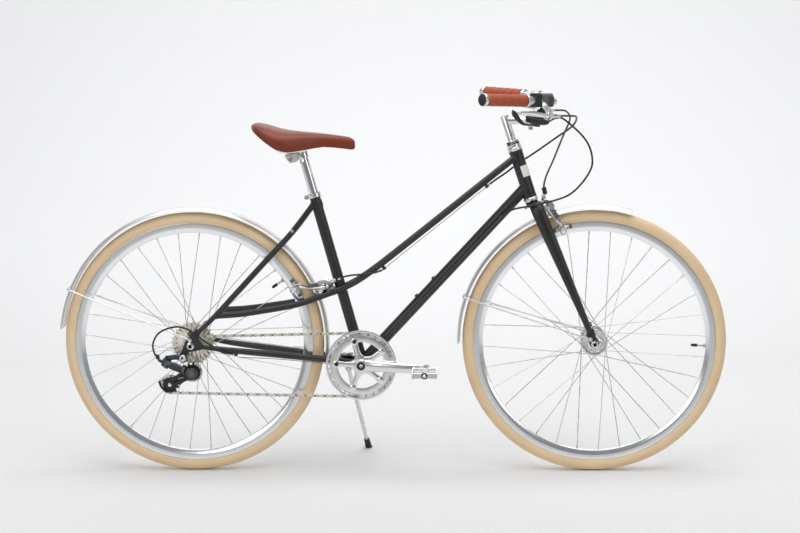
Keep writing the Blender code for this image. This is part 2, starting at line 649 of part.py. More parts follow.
def build_mudguards():
    root = GUARD_CROWN - 3.5
    tab = sweep([around(FRONT_X, root, 114.5), around(FRONT_X, GUARD_CROWN + 21.2, 114.3)], 5.0, 6, flat=2.0,
                side=(1, 0, 0.4))
    node("front_mudguard", [guard_arc(FRONT_X, FRONT_GUARD_SPAN, 13), tab], "silver",
         origin=steer(HEAD_TUBE_BOTTOM))
    tab = sweep([around(REAR_X, root, 47.7), around(REAR_X, GUARD_CROWN + 5.8, 47.7)], 6.0, 6)
    low = sweep([around(REAR_X, root, 20.6), around(REAR_X, GUARD_CROWN + 10, 20.6)], 6.0, 6)
    node("rear_mudguard", [guard_arc(REAR_X, REAR_GUARD_SPAN, 18), tab, low], "silver")
    front_foot = vec(FRONT_X - 11.5, FRONT_DROPOUT_Y + DROPOUT_PLATE + 3.2, AXLE_Z + 13.2)
    rear_foot = rear(-1, REAR_DROPOUT_Y + DROPOUT_PLATE + 3.2, 16)
    for name, x, degrees, foot in (("front_mudguard_stay", FRONT_X, 160.6, front_foot),
                                    ("rear_mudguard_stay", REAR_X, 156.5, rear_foot)):
        wire = [foot, around(x, GUARD_EDGE - 1, degrees, GUARD_HALF_WIDTH + 4.5),
                around(x, GUARD_CROWN + 1.5, degrees, GUARD_HALF_WIDTH + 0.5), around(x, GUARD_CROWN + 4, degrees, 10.0)]
        far = [p * vec(1, -1, 1) for p in map(np.asarray, reversed(wire))]
        line = [np.asarray(p, dtype=float) for p in wire] + far
        eyes = [turned([(-2.8, 5.0), (2.8, 5.0)], np.asarray(foot) * vec(1, s, 1), (0, 1, 0), 6) for s in (1, -1)]
        node(name, [sweep(line, 1.9, 5)] + eyes, "silver", origin=steer(HEAD_TUBE_BOTTOM) if x > 0 else (0, 0, 0))


# Seat
def build_seat():
    post_top = SEAT_TOP + UP_SEAT * 118
    node("seat_post", [turned([(-210, SEAT_POST_RADIUS), (98, SEAT_POST_RADIUS), (104, 11.0), (120, 11.0)],
                              SEAT_TOP, UP_SEAT, 12)], "polished", origin=SEAT_TOP)
    collar = hollow([(-12, SEAT_TUBE_RADIUS + GAP), (-0.5, SEAT_TUBE_RADIUS + GAP), (-0.5, 17.8), (-12, 17.8)],
                    SEAT_TOP, UP_SEAT, 12)
    back = unit(vec(-UP_SEAT[2], 0, UP_SEAT[0]))
    ear = block(SEAT_TOP + UP_SEAT * -4.5 + back * 21, (9, 14, 12), back, UP_SEAT)
    bolt = turned([(-11, 3.6), (11, 3.6)], SEAT_TOP + UP_SEAT * -4.5 + back * 22, (0, 1, 0), 8)
    node("seat_collar", [collar, ear, bolt], "polished")
    clamp = [hollow([(104.8, 11.0 + GAP), (104.8, 15.0), (121, 15.0), (121, 11.0 + GAP)], SEAT_TOP, UP_SEAT, 12),
             block(post_top + vec(-26, 0, -9.5), (27, 46, 15), (0.98, 0, 0.2)),
             turned([(-26, 6.0), (26, 6.0)], post_top + vec(-29, 0, -14), (0, 1, 0), 8)]
    rail_line = smooth_path([(56.7, 9, 144), (36.7, 15, 127), (-2.3, 21.5, 120.5), (-59.3, 21.5, 112.5),
                             (-97.3, 25, 117), (-119.3, 28, 165)], 8) + SEAT_TOP
    rail = sweep(rail_line, 3.5, 5)
    holes = both_sides(sweep(rail_line, 3.5 + 0.5, 5))
    node("saddle_clamp", clamp, "cream_plastic", origin=SEAT_TOP, cutters=holes)
    ends = [sweep([SEAT_TOP + vec(x, y, z), SEAT_TOP + vec(x, -y, z)], 3.6, 5)
            for x, y, z in ((56.7, -11, 144), (-119.3, -30, 165.6))]
    node("saddle_rails", both_sides(rail) + ends, "steel", origin=SEAT_TOP)
    node("saddle", [saddle_form()], "brown_leather", origin=SEAT_TOP, smooth=80)


def saddle_form():
    # stations from the tail to the nose, measured from the top of the seat tube: x, half width, crown height, skirt height, recess height
    stations = [(-160.3, 30, 188, 177, 183), (-155.3, 52, 193, 165, 181), (-142.3, 73, 193.5, 149, 176),
                (-119.3, 88, 188, 135, 170), (-92.3, 91, 180, 125, 164), (-62.3, 82, 174, 119, 159),
                (-32.3, 62, 171, 120, 156), (-2.3, 42, 168.5, 123.5, 153), (27.7, 30, 165.5, 129, 151),
                (57.7, 24, 161.5, 128.5, 148), (87.7, 20.5, 157, 126, 145), (101.7, 16.5, 151.5, 124, 140),
                (107.7, 9.5, 144, 127, 135)]
    rings = []
    for x, half, crown, skirt, recess in stations:
        drop = (crown - skirt)
        inner = max(half - 4.5, half * 0.55)
        right = [(0, crown), (0.42 * half, crown - 0.02 * drop), (0.74 * half, crown - 0.1 * drop),
                 (0.94 * half, crown - 0.3 * drop), (half, crown - 0.6 * drop), (half * 0.97, skirt + 1.5),
                 (half * 0.97 - 2.0, skirt)]
        under = [(inner - 1.5, skirt + 2.0), (inner * 0.8, recess)]
        loop = [(x, y, z) for y, z in right + under]
        loop += [(x, -y, z) for y, z in reversed(right[1:] + under)]
        rings.append(np.array(loop) + SEAT_TOP)
    return loft(rings)


# Drive: toothed wheels, the chain's path round them, cranks and pedals
def pitch_radius(teeth):
    return CHAIN_PITCH / (2 * math.sin(math.pi / teeth))


def tooth_loop(teeth, x, z, y, phase):
    points = []
    for k in range(2 * teeth):
        radius = pitch_radius(teeth) + (-4.5 if k % 2 == 0 else 3.5)
        turn = phase + k * math.pi / teeth
        points.append((x + radius * math.cos(turn), y, z + radius * math.sin(turn)))
    return points


def toothed_disc(teeth, x, z, y, phase, half=0.9):
    return loft([tooth_loop(teeth, x, z, y - half, phase), tooth_loop(teeth, x, z, y + half, phase)])


def jockey_centres():
    upper = (UPPER_JOCKEY_X, UPPER_JOCKEY_Z)
    lower = (upper[0] + CAGE_LENGTH * math.cos(CAGE_ANGLE), upper[1] + CAGE_LENGTH * math.sin(CAGE_ANGLE))
    return upper, lower


def chain_pins():
    # belt path: chainring top, small cog, upper jockey (bent the other way), lower jockey, back
    upper, lower = jockey_centres()
    guide = pitch_radius(JOCKEY_TEETH)
    wheels = [(BRACKET_X, BRACKET_Z, pitch_radius(CHAINRING_TEETH), CHAINRING_Y),
              (REAR_X, AXLE_Z, pitch_radius(COG_TEETH[0]), SMALL_COG_Y),
              (upper[0], upper[1], -guide, SMALL_COG_Y), (lower[0], lower[1], guide, SMALL_COG_Y)]
    lines = []
    for k, (x0, z0, r0, y0) in enumerate(wheels):
        x1, z1, r1, y1 = wheels[(k + 1) % 4]
        gap = math.hypot(x1 - x0, z1 - z0)
        tilt = math.atan2(z1 - z0, x1 - x0) - math.asin((r1 - r0) / gap)
        left = (-math.sin(tilt), math.cos(tilt))
        lines.append(((x0 - r0 * left[0], z0 - r0 * left[1]), (x1 - r1 * left[0], z1 - r1 * left[1]), tilt))
    track = []
    for k, (x, z, radius, y) in enumerate(wheels):
        arrive = lines[k - 1][2]
        leave = lines[k][2]
        turn = (leave - arrive) % (2 * math.pi) if radius > 0 else -((arrive - leave) % (2 * math.pi))
        for t in np.linspace(0, 1, 200):
            tilt = arrive + turn * t
            track.append((x + radius * math.sin(tilt), y, z - radius * math.cos(tilt)))
    track.append(track[0])
    track = np.array(track)
    run = np.concatenate([[0], np.cumsum(np.linalg.norm(np.diff(track[:, [0, 2]], axis=0), axis=1))])
    want = np.arange(CHAIN_LINKS) * run[-1] / CHAIN_LINKS
    pins = np.stack([np.interp(want, run, track[:, k]) for k in range(3)], axis=1)
    return pins, run[-1]


def root_phase(pins, x, z, radius, teeth):
    # turns a toothed wheel so that its gaps take the chain's pins
    near = [p for p in pins if abs(math.hypot(p[0] - x, p[2] - z) - abs(radius)) < 0.3]
    step = 2 * math.pi / teeth
    angles = [math.atan2(p[2] - z, p[0] - x) for p in near]
    mean = sum(complex(math.cos(a * teeth), math.sin(a * teeth)) for a in angles)
    return math.atan2(mean.imag, mean.real) / teeth % step


def build_chain(pins):
    # two side bands joined by a three-sided roller at every pin; bands are split only where they bend
    count = len(pins)
    after = np.roll(pins, -1, axis=0)
    middles = (pins + after) / 2
    heading = after - pins
    heading /= np.linalg.norm(heading, axis=1)[:, None]
    bends = np.linalg.norm(heading - np.roll(heading, 1, axis=0), axis=1) > 1e-3
    cuts = [k for k in range(count) if bends[k] or bends[(k + 1) % count]]
    points = []
    faces = []

    def upward(k):
        return unit((-heading[k][2], 0, heading[k][0]))

    def add(point):
        points.append(point)
        return len(points) - 1

    stations = []
    for k in cuts:
        corners = {}
        for band, (near, far) in {"left": (2.2, 3.1), "right": (-2.2, -3.1)}.items():
            corners[band] = [add(middles[k] + upward(k) * height + vec(0, y, 0))
                             for y, height in ((near, 3.9), (near, -3.9), (far, -3.9), (far, 3.9))]
        stations.append(corners)
    for n, k in enumerate(cuts):
        here = stations[n]
        there = stations[(n + 1) % len(cuts)]
        last = cuts[(n + 1) % len(cuts)]
        inside = [(k + 1 + j) % count for j in range((last - k) % count)]
        diamonds = {"left": [], "right": []}
        if len(inside) > 3:
            inside = inside[::5]
        for pin in inside:
            ahead = unit(vec(heading[pin][0], 0, heading[pin][2]) + vec(heading[pin - 1][0], 0, heading[pin - 1][2]))
            above = vec(-ahead[2], 0, ahead[0])
            for band, y in (("left", 2.2), ("right", -2.2)):
                diamonds[band].append([add(pins[pin] + vec(0, y, 0) + ahead * a + above * b)
                                       for a, b in ((2.0, -1.2), (0, 2.2), (-2.0, -1.2))])
        for band in ("left", "right"):
            a = here[band]
            b = there[band]
            faces += [(a[1], a[2], b[2], b[1]), (a[2], a[3], b[3], b[2]), (a[3], a[0], b[0], b[3])]
            rollers = diamonds[band]
            upper = [a[0]] + [loop[j] for loop in rollers for j in (2, 1, 0)] + [b[0]]
            lower = [a[1]] + [loop[j] for loop in rollers for j in (2, 0)] + [b[1]]
            faces += [tuple(upper), tuple(reversed(lower)), (a[1], a[0], rollers[0][2]), (b[0], b[1], rollers[-1][0])]
        for left, right in zip(diamonds["left"], diamonds["right"]):
            for j in range(3):
                m = (j + 1) % 3
                faces.append((left[j], left[m], right[m], right[j]))
    node("chain", [(np.array(points), faces)], "nickel", smooth=20)


def build_drive():
    pins, length = chain_pins()
    print("chain run", round(length, 2), "pitch", round(length / CHAIN_LINKS, 4))
    build_chain(pins)
    phase = root_phase(pins, REAR_X, AXLE_Z, pitch_radius(11), 11)
    solids = [turned([(-60.2, 15.5), (-24.0, 17.5)], (REAR_X, 0, AXLE_Z), (0, 1, 0), 12)]
    for k, teeth in enumerate(COG_TEETH):
        y = SMALL_COG_Y + COG_SPACING * k
        if k in (0, len(COG_TEETH) - 1):
            solids.append(toothed_disc(teeth, REAR_X, AXLE_Z, y, phase))
        else:
            edge = pitch_radius(teeth) + 1.5
            solids.append(turned([(-0.7, edge), (0.7, edge)], (REAR_X, y, AXLE_Z), (0, 1, 0), 14, 0.2 * k))
    node("cassette", solids, "nickel", (REAR_X, 0, AXLE_Z),
         cutters=[turned([(-70, 5.9), (-15, 5.9)], (REAR_X, 0, AXLE_Z), (0, 1, 0), 8)], smooth=20)
    phase = root_phase(pins, BRACKET_X, BRACKET_Z, pitch_radius(CHAINRING_TEETH), CHAINRING_TEETH)
    outer = [tooth_loop(CHAINRING_TEETH, BRACKET_X, BRACKET_Z, CHAINRING_Y + d, phase) for d in (-0.9, 0.9)]
    inner = []
    for d in (0.9, -0.9):
        turn = phase + np.arange(2 * CHAINRING_TEETH) * math.pi / CHAINRING_TEETH
        inner.append([(BRACKET_X + 59 * math.cos(t), CHAINRING_Y + d, BRACKET_Z + 59 * math.sin(t)) for t in turn])
    node("chainring", [loft(outer + inner, closed=True)], "silver", BRACKET, smooth=20)
    build_cranks()
    build_derailleur(pins)


def crank_point(angle, radius, y):
    return BRACKET + vec(radius * math.cos(angle), y, radius * math.sin(angle))


def build_cranks():
    for name, side, angle in (("right", -1, CRANK_ANGLE), ("left", 1, CRANK_ANGLE + math.pi)):
        arm = sweep([crank_point(angle, 6, side * 58), crank_point(angle, 30, side * 61),
                     crank_point(angle, 60, side * 66), crank_point(angle, 110, side * 71),
                     crank_point(angle, CRANK_LENGTH, side * 74)],
                    [15.5, 14.5, 12.0, 10.5, 11.0], 6, flat=[7.5, 7.0, 6.5, 6.2, 6.0], side=(0, 1, 0))
        eye = turned([(-7, 12.5), (6.5, 12.5)], crank_point(angle, CRANK_LENGTH, side * 74), (0, side, 0), 10)
        shaft = turned([(5, 7.0), (9.0, 7.0), (9.0, 4.6), (100, 4.6)], crank_point(angle, CRANK_LENGTH, side * 74),
                       (0, side, 0), 8)
        hub = turned([(43, 15.0), (50, 18.0), (67, 16.0)], BRACKET, (0, side, 0), 14)
        solids = [hub, arm, eye, shaft]
        if side < 0:
            for k in range(5):
                turn = angle + math.radians(36 + 72 * k)
                solids.append(sweep([crank_point(turn, 8, -51), crank_point(turn, 40, -51), crank_point(turn, 66, -51),
                                     crank_point(turn, 72.5, -51)], [11.5, 8.0, 7.5, 4.0], 4, flat=2.8, side=(0, 1, 0)))
        cutters = [turned([(40, 8.7), (80, 8.7)], BRACKET, (0, side, 0), 10)]
        node("crank_" + name, solids, "polished", BRACKET, cutters=cutters)
        centre = crank_point(angle, CRANK_LENGTH, side * 129)
        build_pedal("pedal_" + name, centre, side)
    node("crank_spindle", [turned([(-69.5, 6.0), (-69.5, 8.2), (69.5, 8.2), (69.5, 6.0)], BRACKET, (0, 1, 0), 10)],
         "steel", BRACKET)
    ring = wheel_ring([(GUARD_RADIUS, -55.3), (GUARD_RADIUS, -53.5), (60.0, -53.5), (60.0, -55.3)],
                      BRACKET_X, BRACKET_Z, 28)
    bolts = []
    for k in range(5):
        turn = CRANK_ANGLE + math.radians(36 + 72 * k)
        bolts.append(turned([(53.8, 4.6), (57.6, 4.6)], BRACKET + vec(65 * math.cos(turn), 0, 65 * math.sin(turn)),
                            (0, -1, 0), 6))
    node("guard_ring", [ring] + bolts, "polished", BRACKET)


def build_pedal(name, centre, side):
    solids = [turned([(-41, 9.5), (41, 9.5)], centre, (0, 1, 0), 10)]
    for x in (-31, 31):
        solids.append(block(centre + vec(x, 0, 0), (2.6, 86, 20)))
    for y in (-39, 39):
        solids.append(block(centre + vec(0, y, 0), (61, 3.4, 15)))
    node(name, solids, "silver", (centre[0], centre[1], centre[2]),
         cutters=[turned([(-60, 5.0), (60, 5.0)], centre, (0, 1, 0), 8)])


# Rear derailleur: knuckle on the hanger, slanted link, body, sprung cage, two jockey wheels
LINK_START = rear(-61, -82, -45)
LINK_END = rear(-18, -82, -62.5)
SLANT = unit((0, 0.8, -0.6))
LINK_AXIS = unit(np.cross(unit(LINK_END - LINK_START), SLANT))


def build_derailleur(pins):
    upper, lower = jockey_centres()
    upper = vec(upper[0], SMALL_COG_Y, upper[1])
    lower = vec(lower[0], SMALL_COG_Y, lower[1])
    ears = [turned([(9.0, 7.2), (12.0, 7.2)], LINK_START, LINK_AXIS * s, 8) for s in (1, -1)]
    back = LINK_START - unit(LINK_END - LINK_START) * 9.8
    solids = [turned([(67.3, 3.0), (73.3, 3.0), (73.3, 9.0), (84, 9.0)], HANGER, (0, -1, 0), 10),
              sweep([HANGER + vec(0, -81, 0), rear(-43, -81, -27), back + LINK_AXIS * 14.5], [7.0, 6.5, 5.0], 6),
              sweep([back - LINK_AXIS * 11.5, back + LINK_AXIS * 14], 4.4, 6)] + ears
    solids.append(sweep([back + vec(1, 0, 1), rear(-79, -86, -37), rear(-84, -87, -31)], [4.5, 4.5, 4.2], 6))
    node("derailleur_knuckle", solids, "dark_grey", HANGER + vec(0, -80, 0))
    ahead = unit(LINK_END - LINK_START)
    length = np.linalg.norm(LINK_END - LINK_START)
    link = [turned([(-8.4, 4.6), (8.4, 4.6)], LINK_START, LINK_AXIS, 10),
            turned([(-8.4, 4.6), (8.4, 4.6)], LINK_END, LINK_AXIS, 10),
            block((LINK_START + LINK_END) / 2, (length, 7.0, 15.0), ahead, LINK_AXIS)]
    node("derailleur_link", link, "dark_grey", LINK_START)
    ears = [turned([(9.0, 7.2), (12.0, 7.2)], LINK_END, LINK_AXIS * s, 8) for s in (1, -1)]
    front = LINK_END + ahead * 9.8
    solids = [turned([(66.2, 13.0), (82, 13.0), (86, 10.0)], vec(upper[0], 0, upper[2]), (0, -1, 0), 12),
              sweep([front - LINK_AXIS * 11.5, front + LINK_AXIS * 11.5], 4.4, 6)] + ears
    node("derailleur_body", solids, "dark_grey", LINK_END)
    build_cage(upper, lower)
    for name, centre, radius in (("jockey_upper", upper, -1), ("jockey_lower", lower, 1)):
        phase = root_phase(pins, centre[0], centre[2], pitch_radius(JOCKEY_TEETH), JOCKEY_TEETH)
        disc = toothed_disc(JOCKEY_TEETH, centre[0], centre[2], centre[1], phase)
        boss = turned([(-3.2, 7.0), (3.2, 7.0)], centre, (0, 1, 0), 8)
        node(name, [disc, boss], "black_plastic", centre, cutters=[turned([(-9, 3.0), (9, 3.0)], centre, (0, 1, 0), 8)],
             smooth=20)


def build_cage(upper, lower):
    # the outer plate hides the chain round the wheels; the inner one is a plain oval
    down = unit(lower - upper)
    below = vec(-down[2], 0, down[0])
    slim = []
    for centre, start, radius in ((upper, 180, 13.0), (lower, 0, 12.0)):
        for turn in np.radians([start + step for step in (-90, -45, 0, 45, 90)]):
            slim.append(centre + down * radius * math.cos(turn) + below * radius * math.sin(turn))
    broad = [(24, -27), (27, -6), (20, 13), (8, 20), (-3, 22), (-15, 16)]
    broad = [lower + down * a + below * b for a, b in broad]
    broad += [upper + down * a + below * b for a, b in
              ((33, 11), (16, 13), (0, 18), (-12, 14), (-18, 2), (-14, -11), (-2, -18), (24, -19), (48, -25))]
    solids = [plate([(p[0], p[2]) for p in broad], -65.4, -63.6), plate([(p[0], p[2]) for p in slim], -53.4, -51.9)]
    for centre in (upper, lower):
        solids.append(turned([(51.0, 2.6), (65.9, 2.6)], vec(centre[0], 0, centre[2]), (0, -1, 0), 8))
    node("derailleur_cage", solids, "black_paint", upper)


# Side-pull brakes: two arms on one bolt, each with its shoe beside the rim
def build_brake(name, base, out, reach, gap, pad, origin):
    layers = {"right": gap + 6.7, "left": gap + 12.7}
    bolt = [(-22.5, 5.5), (-17.2, 5.5), (-17.2, 3.0), (gap, 3.0), (gap, 8.0), (gap + 6.3, 8.0), (gap + 6.3, 3.0),
            (gap + 18.2, 3.0), (gap + 18.2, 5.5), (gap + 23, 5.5)]
    if name == "rear":
        bolt = [(-12.5, 5.0), (-8.0, 5.0), (-8.0, 3.0)] + bolt[3:]
    node(name + "_brake_bolt", [turned(bolt, base, out, 8)], "steel", origin)
    pad = np.asarray(pad, dtype=float)
    pad_out = np.dot(pad - base, out)
    pad_reach = np.dot(pad - base, reach)
    for side, sign in (("right", -1), ("left", 1)):
        layer = layers[side]

        def at(y, k, d):
            return base + vec(0, y, 0) + out * k + reach * d

        middle = layer + 2.4
        arm = sweep([at(sign * 4, middle, 1), at(sign * 22, middle + 1, 5), at(sign * 29.5, middle + 5, 18),
                     at(sign * 30.5, (middle + pad_out) / 2 + 3, pad_reach * 0.58),
                     at(sign * 28, pad_out, pad_reach - 4), at(sign * 27, pad_out, pad_reach + 6)],
                    [6.0, 6.4, 6.2, 5.6, 5.4, 5.0], 4, flat=[2.9, 3.0, 4.2, 5.0, 5.2, 5.0], side=out)
        eye = turned([(layer, 8.5), (layer + 4.8, 8.5)], base, out, 10)
        tangent = unit((-(pad[2] - AXLE_Z), 0, pad[0] - (FRONT_X if name == "front" else REAR_X)))
        shoe = block(pad + vec(0, sign * (RIM_HALF_WIDTH + 7.2), 0), (40, 10, 9.6), tangent,
                     np.cross(tangent, vec(0, 1, 0)))
        stud = turned([(RIM_HALF_WIDTH + 10, 3.5), (34, 3.5)], pad, (0, sign, 0), 6)
        solids = [eye, arm, shoe, stud]
        if sign < 0:
            solids += [sweep([at(-3, middle, -2), at(-17, middle, -13)], [4.2, 3.6], 4, flat=2.8, side=out),
                       sweep([at(-17, middle, -8), at(-17, middle, -19)], 4.0, 6)]
        else:
            solids.append(sweep([at(-2, middle, 0), at(-15, middle, -1)], [4.8, 4.0], 4, flat=2.8, side=out))
        node(name + "_brake_arm_" + side, solids, "silver", base,
             cutters=[turned([(-5, 3.5), (60, 3.5)], base, out, 8)])


def build_brakes():
    front = steer(BRAKE_HEIGHT)
    build_brake("front", front, OUT_STEER, -UP_STEER, FRONT_BRAKE_GAP, around(FRONT_X, SHOE_RADIUS, 103.0), front)
    reach = unit((-BRIDGE_LIFT[2], 0, BRIDGE_LIFT[0]))
    build_brake("rear", BRIDGE, BRIDGE_LIFT, reach, 8.2, around(REAR_X, SHOE_RADIUS, BRIDGE_ANGLE + 7.8), BRIDGE)


# Cockpit: stem, swept handlebar, grips, brake levers, gear shifter
SWEEP = unit(BAR_SWEEP)


def grip_point(distance, side, forward=0.0, down=0.0):
    # a point beside the straight grip part of the bar, measured in from its end
    along = unit(SWEEP * vec(1, side, 1))
    ahead = unit(vec(along[1] * side, -along[0] * side, 0))
    return BAR_END * vec(1, side, 1) - along * distance + ahead * forward - vec(0, 0, down)


def grip_axis(side):
    return unit(SWEEP * vec(1, side, 1))


def build_cockpit():
    clamp = CLAMP
    quill = turned([(HEAD_TUBE_BOTTOM + 26, QUILL_RADIUS), (STEM_HEIGHT + 8, QUILL_RADIUS), (STEM_HEIGHT + 13, QUILL_RADIUS - 3)],
                   STEER_FOOT, UP_STEER, 12)
    arm = sweep([steer(STEM_HEIGHT - 1, 0), steer(STEM_HEIGHT - 1, 0) * 0.5 + clamp * 0.5 + vec(0, 0, -1),
                 clamp - vec(8, 0, 0)], [10.5, 9.5, 9.5], 10, flat=[10.5, 10.0, 11.0])
    ring = turned([(-20, 17.2), (20, 17.2)], clamp, (0, 1, 0), 14)
    lug = block(clamp + vec(-3, 0, -18), (13, 18, 12))
    node("stem", [quill, arm, ring, lug], "polished", steer(HEAD_TUBE_BOTTOM),
         cutters=[turned([(-30, clear_of(BAR_RADIUS, 12)), (30, clear_of(BAR_RADIUS, 12))], clamp, (0, 1, 0), 12)])
    half = smooth_path([clamp + vec(0, 24, 0), clamp + vec(2, 42, 1.2), clamp + vec(10, 64, 9.5),
                        clamp + vec(25, 92, 26), clamp + vec(36, 121, 45), grip_point(219, 1)], 8)
    half = np.vstack([half, [grip_point(0, 1)]])
    line = np.vstack([half[::-1] * vec(1, -1, 1), half])
    thick = np.where(np.abs(line[:, 1]) < 45, BAR_RADIUS, BAR_END_RADIUS)
    solids = [sweep(line, thick, 8, side=(0, 0, 1))]
    for side in (-1, 1):
        solids.append(turned([(-1.0, 15.6), (8.0, 16.6), (8.2, 14.6), (16, 14.0)],
                             grip_point(8.0, side), grip_axis(side), 12))
        solids.append(turned([(-8, 16.2), (0, 16.2)], grip_point(GRIP_START + GRIP_LENGTH + 0.4, side),
                             grip_axis(side), 12))
    node("handlebar", solids, "polished", clamp)
    for name, side in (("right", -1), ("left", 1)):
        base = grip_point(GRIP_START, side)
        inside = clear_of(BAR_END_RADIUS, 12)
        profile = [(0, inside), (0, GRIP_RADIUS - 0.4), (50, GRIP_RADIUS - 0.5),
                   (GRIP_LENGTH, GRIP_RADIUS), (GRIP_LENGTH, inside)]
        node("grip_" + name, [hollow(profile, base, -grip_axis(side), 12)], "brown_leather", clamp)
        build_lever(name, side)
    build_shifter()


def lever_line(side):
    pivot = grip_point(183, side, 27, 36)
    return pivot, [pivot, grip_point(160, side, 29, 38), grip_point(120, side, 27, 37), grip_point(84, side, 29, 35)]


def lever_axis(side):
    across = unit(grip_point(100, side, 27, 36) - grip_point(100, side))
    return unit(np.cross(grip_axis(side), across))


def build_lever(name, side):
    pivot, line = lever_line(side)
    axis = lever_axis(side)
    seat = grip_point(180, side)
    collar = turned([(-11, BAR_END_RADIUS + 4.5), (11, BAR_END_RADIUS + 4.5)], seat, grip_axis(side), 10)
    limb = sweep([seat, grip_point(184, side, 17, 14), grip_point(190, side, 24, 26)], [8.5, 8.5, 7.5], 6)
    ears = [block(pivot + axis * s * 7.2 - grip_axis(side) * 3, (20, 14, 3.6), grip_axis(side), axis) for s in (1, -1)]
    back = block(pivot - grip_axis(side) * 11.5, (7, 16, 17.5), grip_axis(side), axis)
    tube = turned([(0, 5.5), (20, 5.5), (20, 4.2), (28, 4.2)], pivot - grip_axis(side) * 13, -grip_axis(side), 6)
    bore = clear_of(BAR_END_RADIUS, 10)
    node("brake_bracket_" + name, [collar, limb, back, tube] + ears, "silver", CLAMP,
         cutters=[turned([(-30, bore), (30, bore)], seat, grip_axis(side), 10)])
    blade = sweep(smooth_path(line, 7), [4.8, 5.5, 6.0, 6.0, 5.8, 5.4, 5.0], 8,
                  flat=[4.8, 4.6, 3.0, 2.8, 2.8, 3.0, 4.4], side=unit(np.cross(grip_axis(side), axis)))
    boss = turned([(-4.9, 6.3), (4.9, 6.3)], pivot, axis, 10)
    node("brake_lever_" + name, [blade, boss], "silver", pivot)


POD_DROP = vec(-18.5, 11, -44)
POD_NOSE = vec(40, -4.5, 0)
POD_SPIN = unit((0.15, -0.25, 0.96))


def build_shifter():
    # a box round the bar with an oval pod hung below it; the lever swings under the pod
    seat = grip_point(202.5, -1)
    axis = grip_axis(-1)
    box = block(seat + vec(0, 0, 1), (17, 30, 34), axis)
    pod_centre = grip_point(198, -1) + POD_DROP
    neck = sweep([seat + vec(0, 0, -10), pod_centre + vec(4, -2, 12)], [7.0, 9.0], 6)
    pod = sweep([pod_centre + POD_SPIN * up for up in (-13, -10, 11, 15)], [15, 19, 19, 14], 12,
                flat=[25, 31, 31, 24], side=(1, 0, 0))
    nose = sweep([pod_centre + POD_NOSE * 0.5, pod_centre + POD_NOSE * 0.85, pod_centre + POD_NOSE],
                 [6.5, 5.0, 4.2], 6)
    bore = clear_of(BAR_END_RADIUS, 12)
    node("shifter_pod", [box, neck, pod, nose], "black_plastic", CLAMP,
         cutters=[turned([(-30, bore), (30, bore)], seat, axis, 12)])
    hinge = pod_centre - POD_SPIN * 16.8
    paddle = [turned([(-3, 9.0), (3, 9.0)], hinge, POD_SPIN, 10),
              sweep([hinge, hinge + vec(-36, -14, 0), hinge + vec(-53, -19, 10), hinge + vec(-62, -22, 32)],
                    [2.6, 2.6, 2.6, 2.4], 6, flat=[7.0, 7.0, 7.0, 6.0], side=(0, 1, 0))]
    node("shift_lever", paddle, "black_plastic", hinge)


# Cables: black housing with the bare wire running between the stops
def cable(name, runs, origin=(0, 0, 0)):
    # each run is (corner points, steps, radius); the runs follow on from one another
    path = []
    radii = []
    for corners, steps, radius in runs:
        piece = smooth_path(corners, steps)
        path += list(piece)
        radii += [radius] * len(piece)
    node(name, [sweep(path, radii, 5)], "black_plastic", origin)


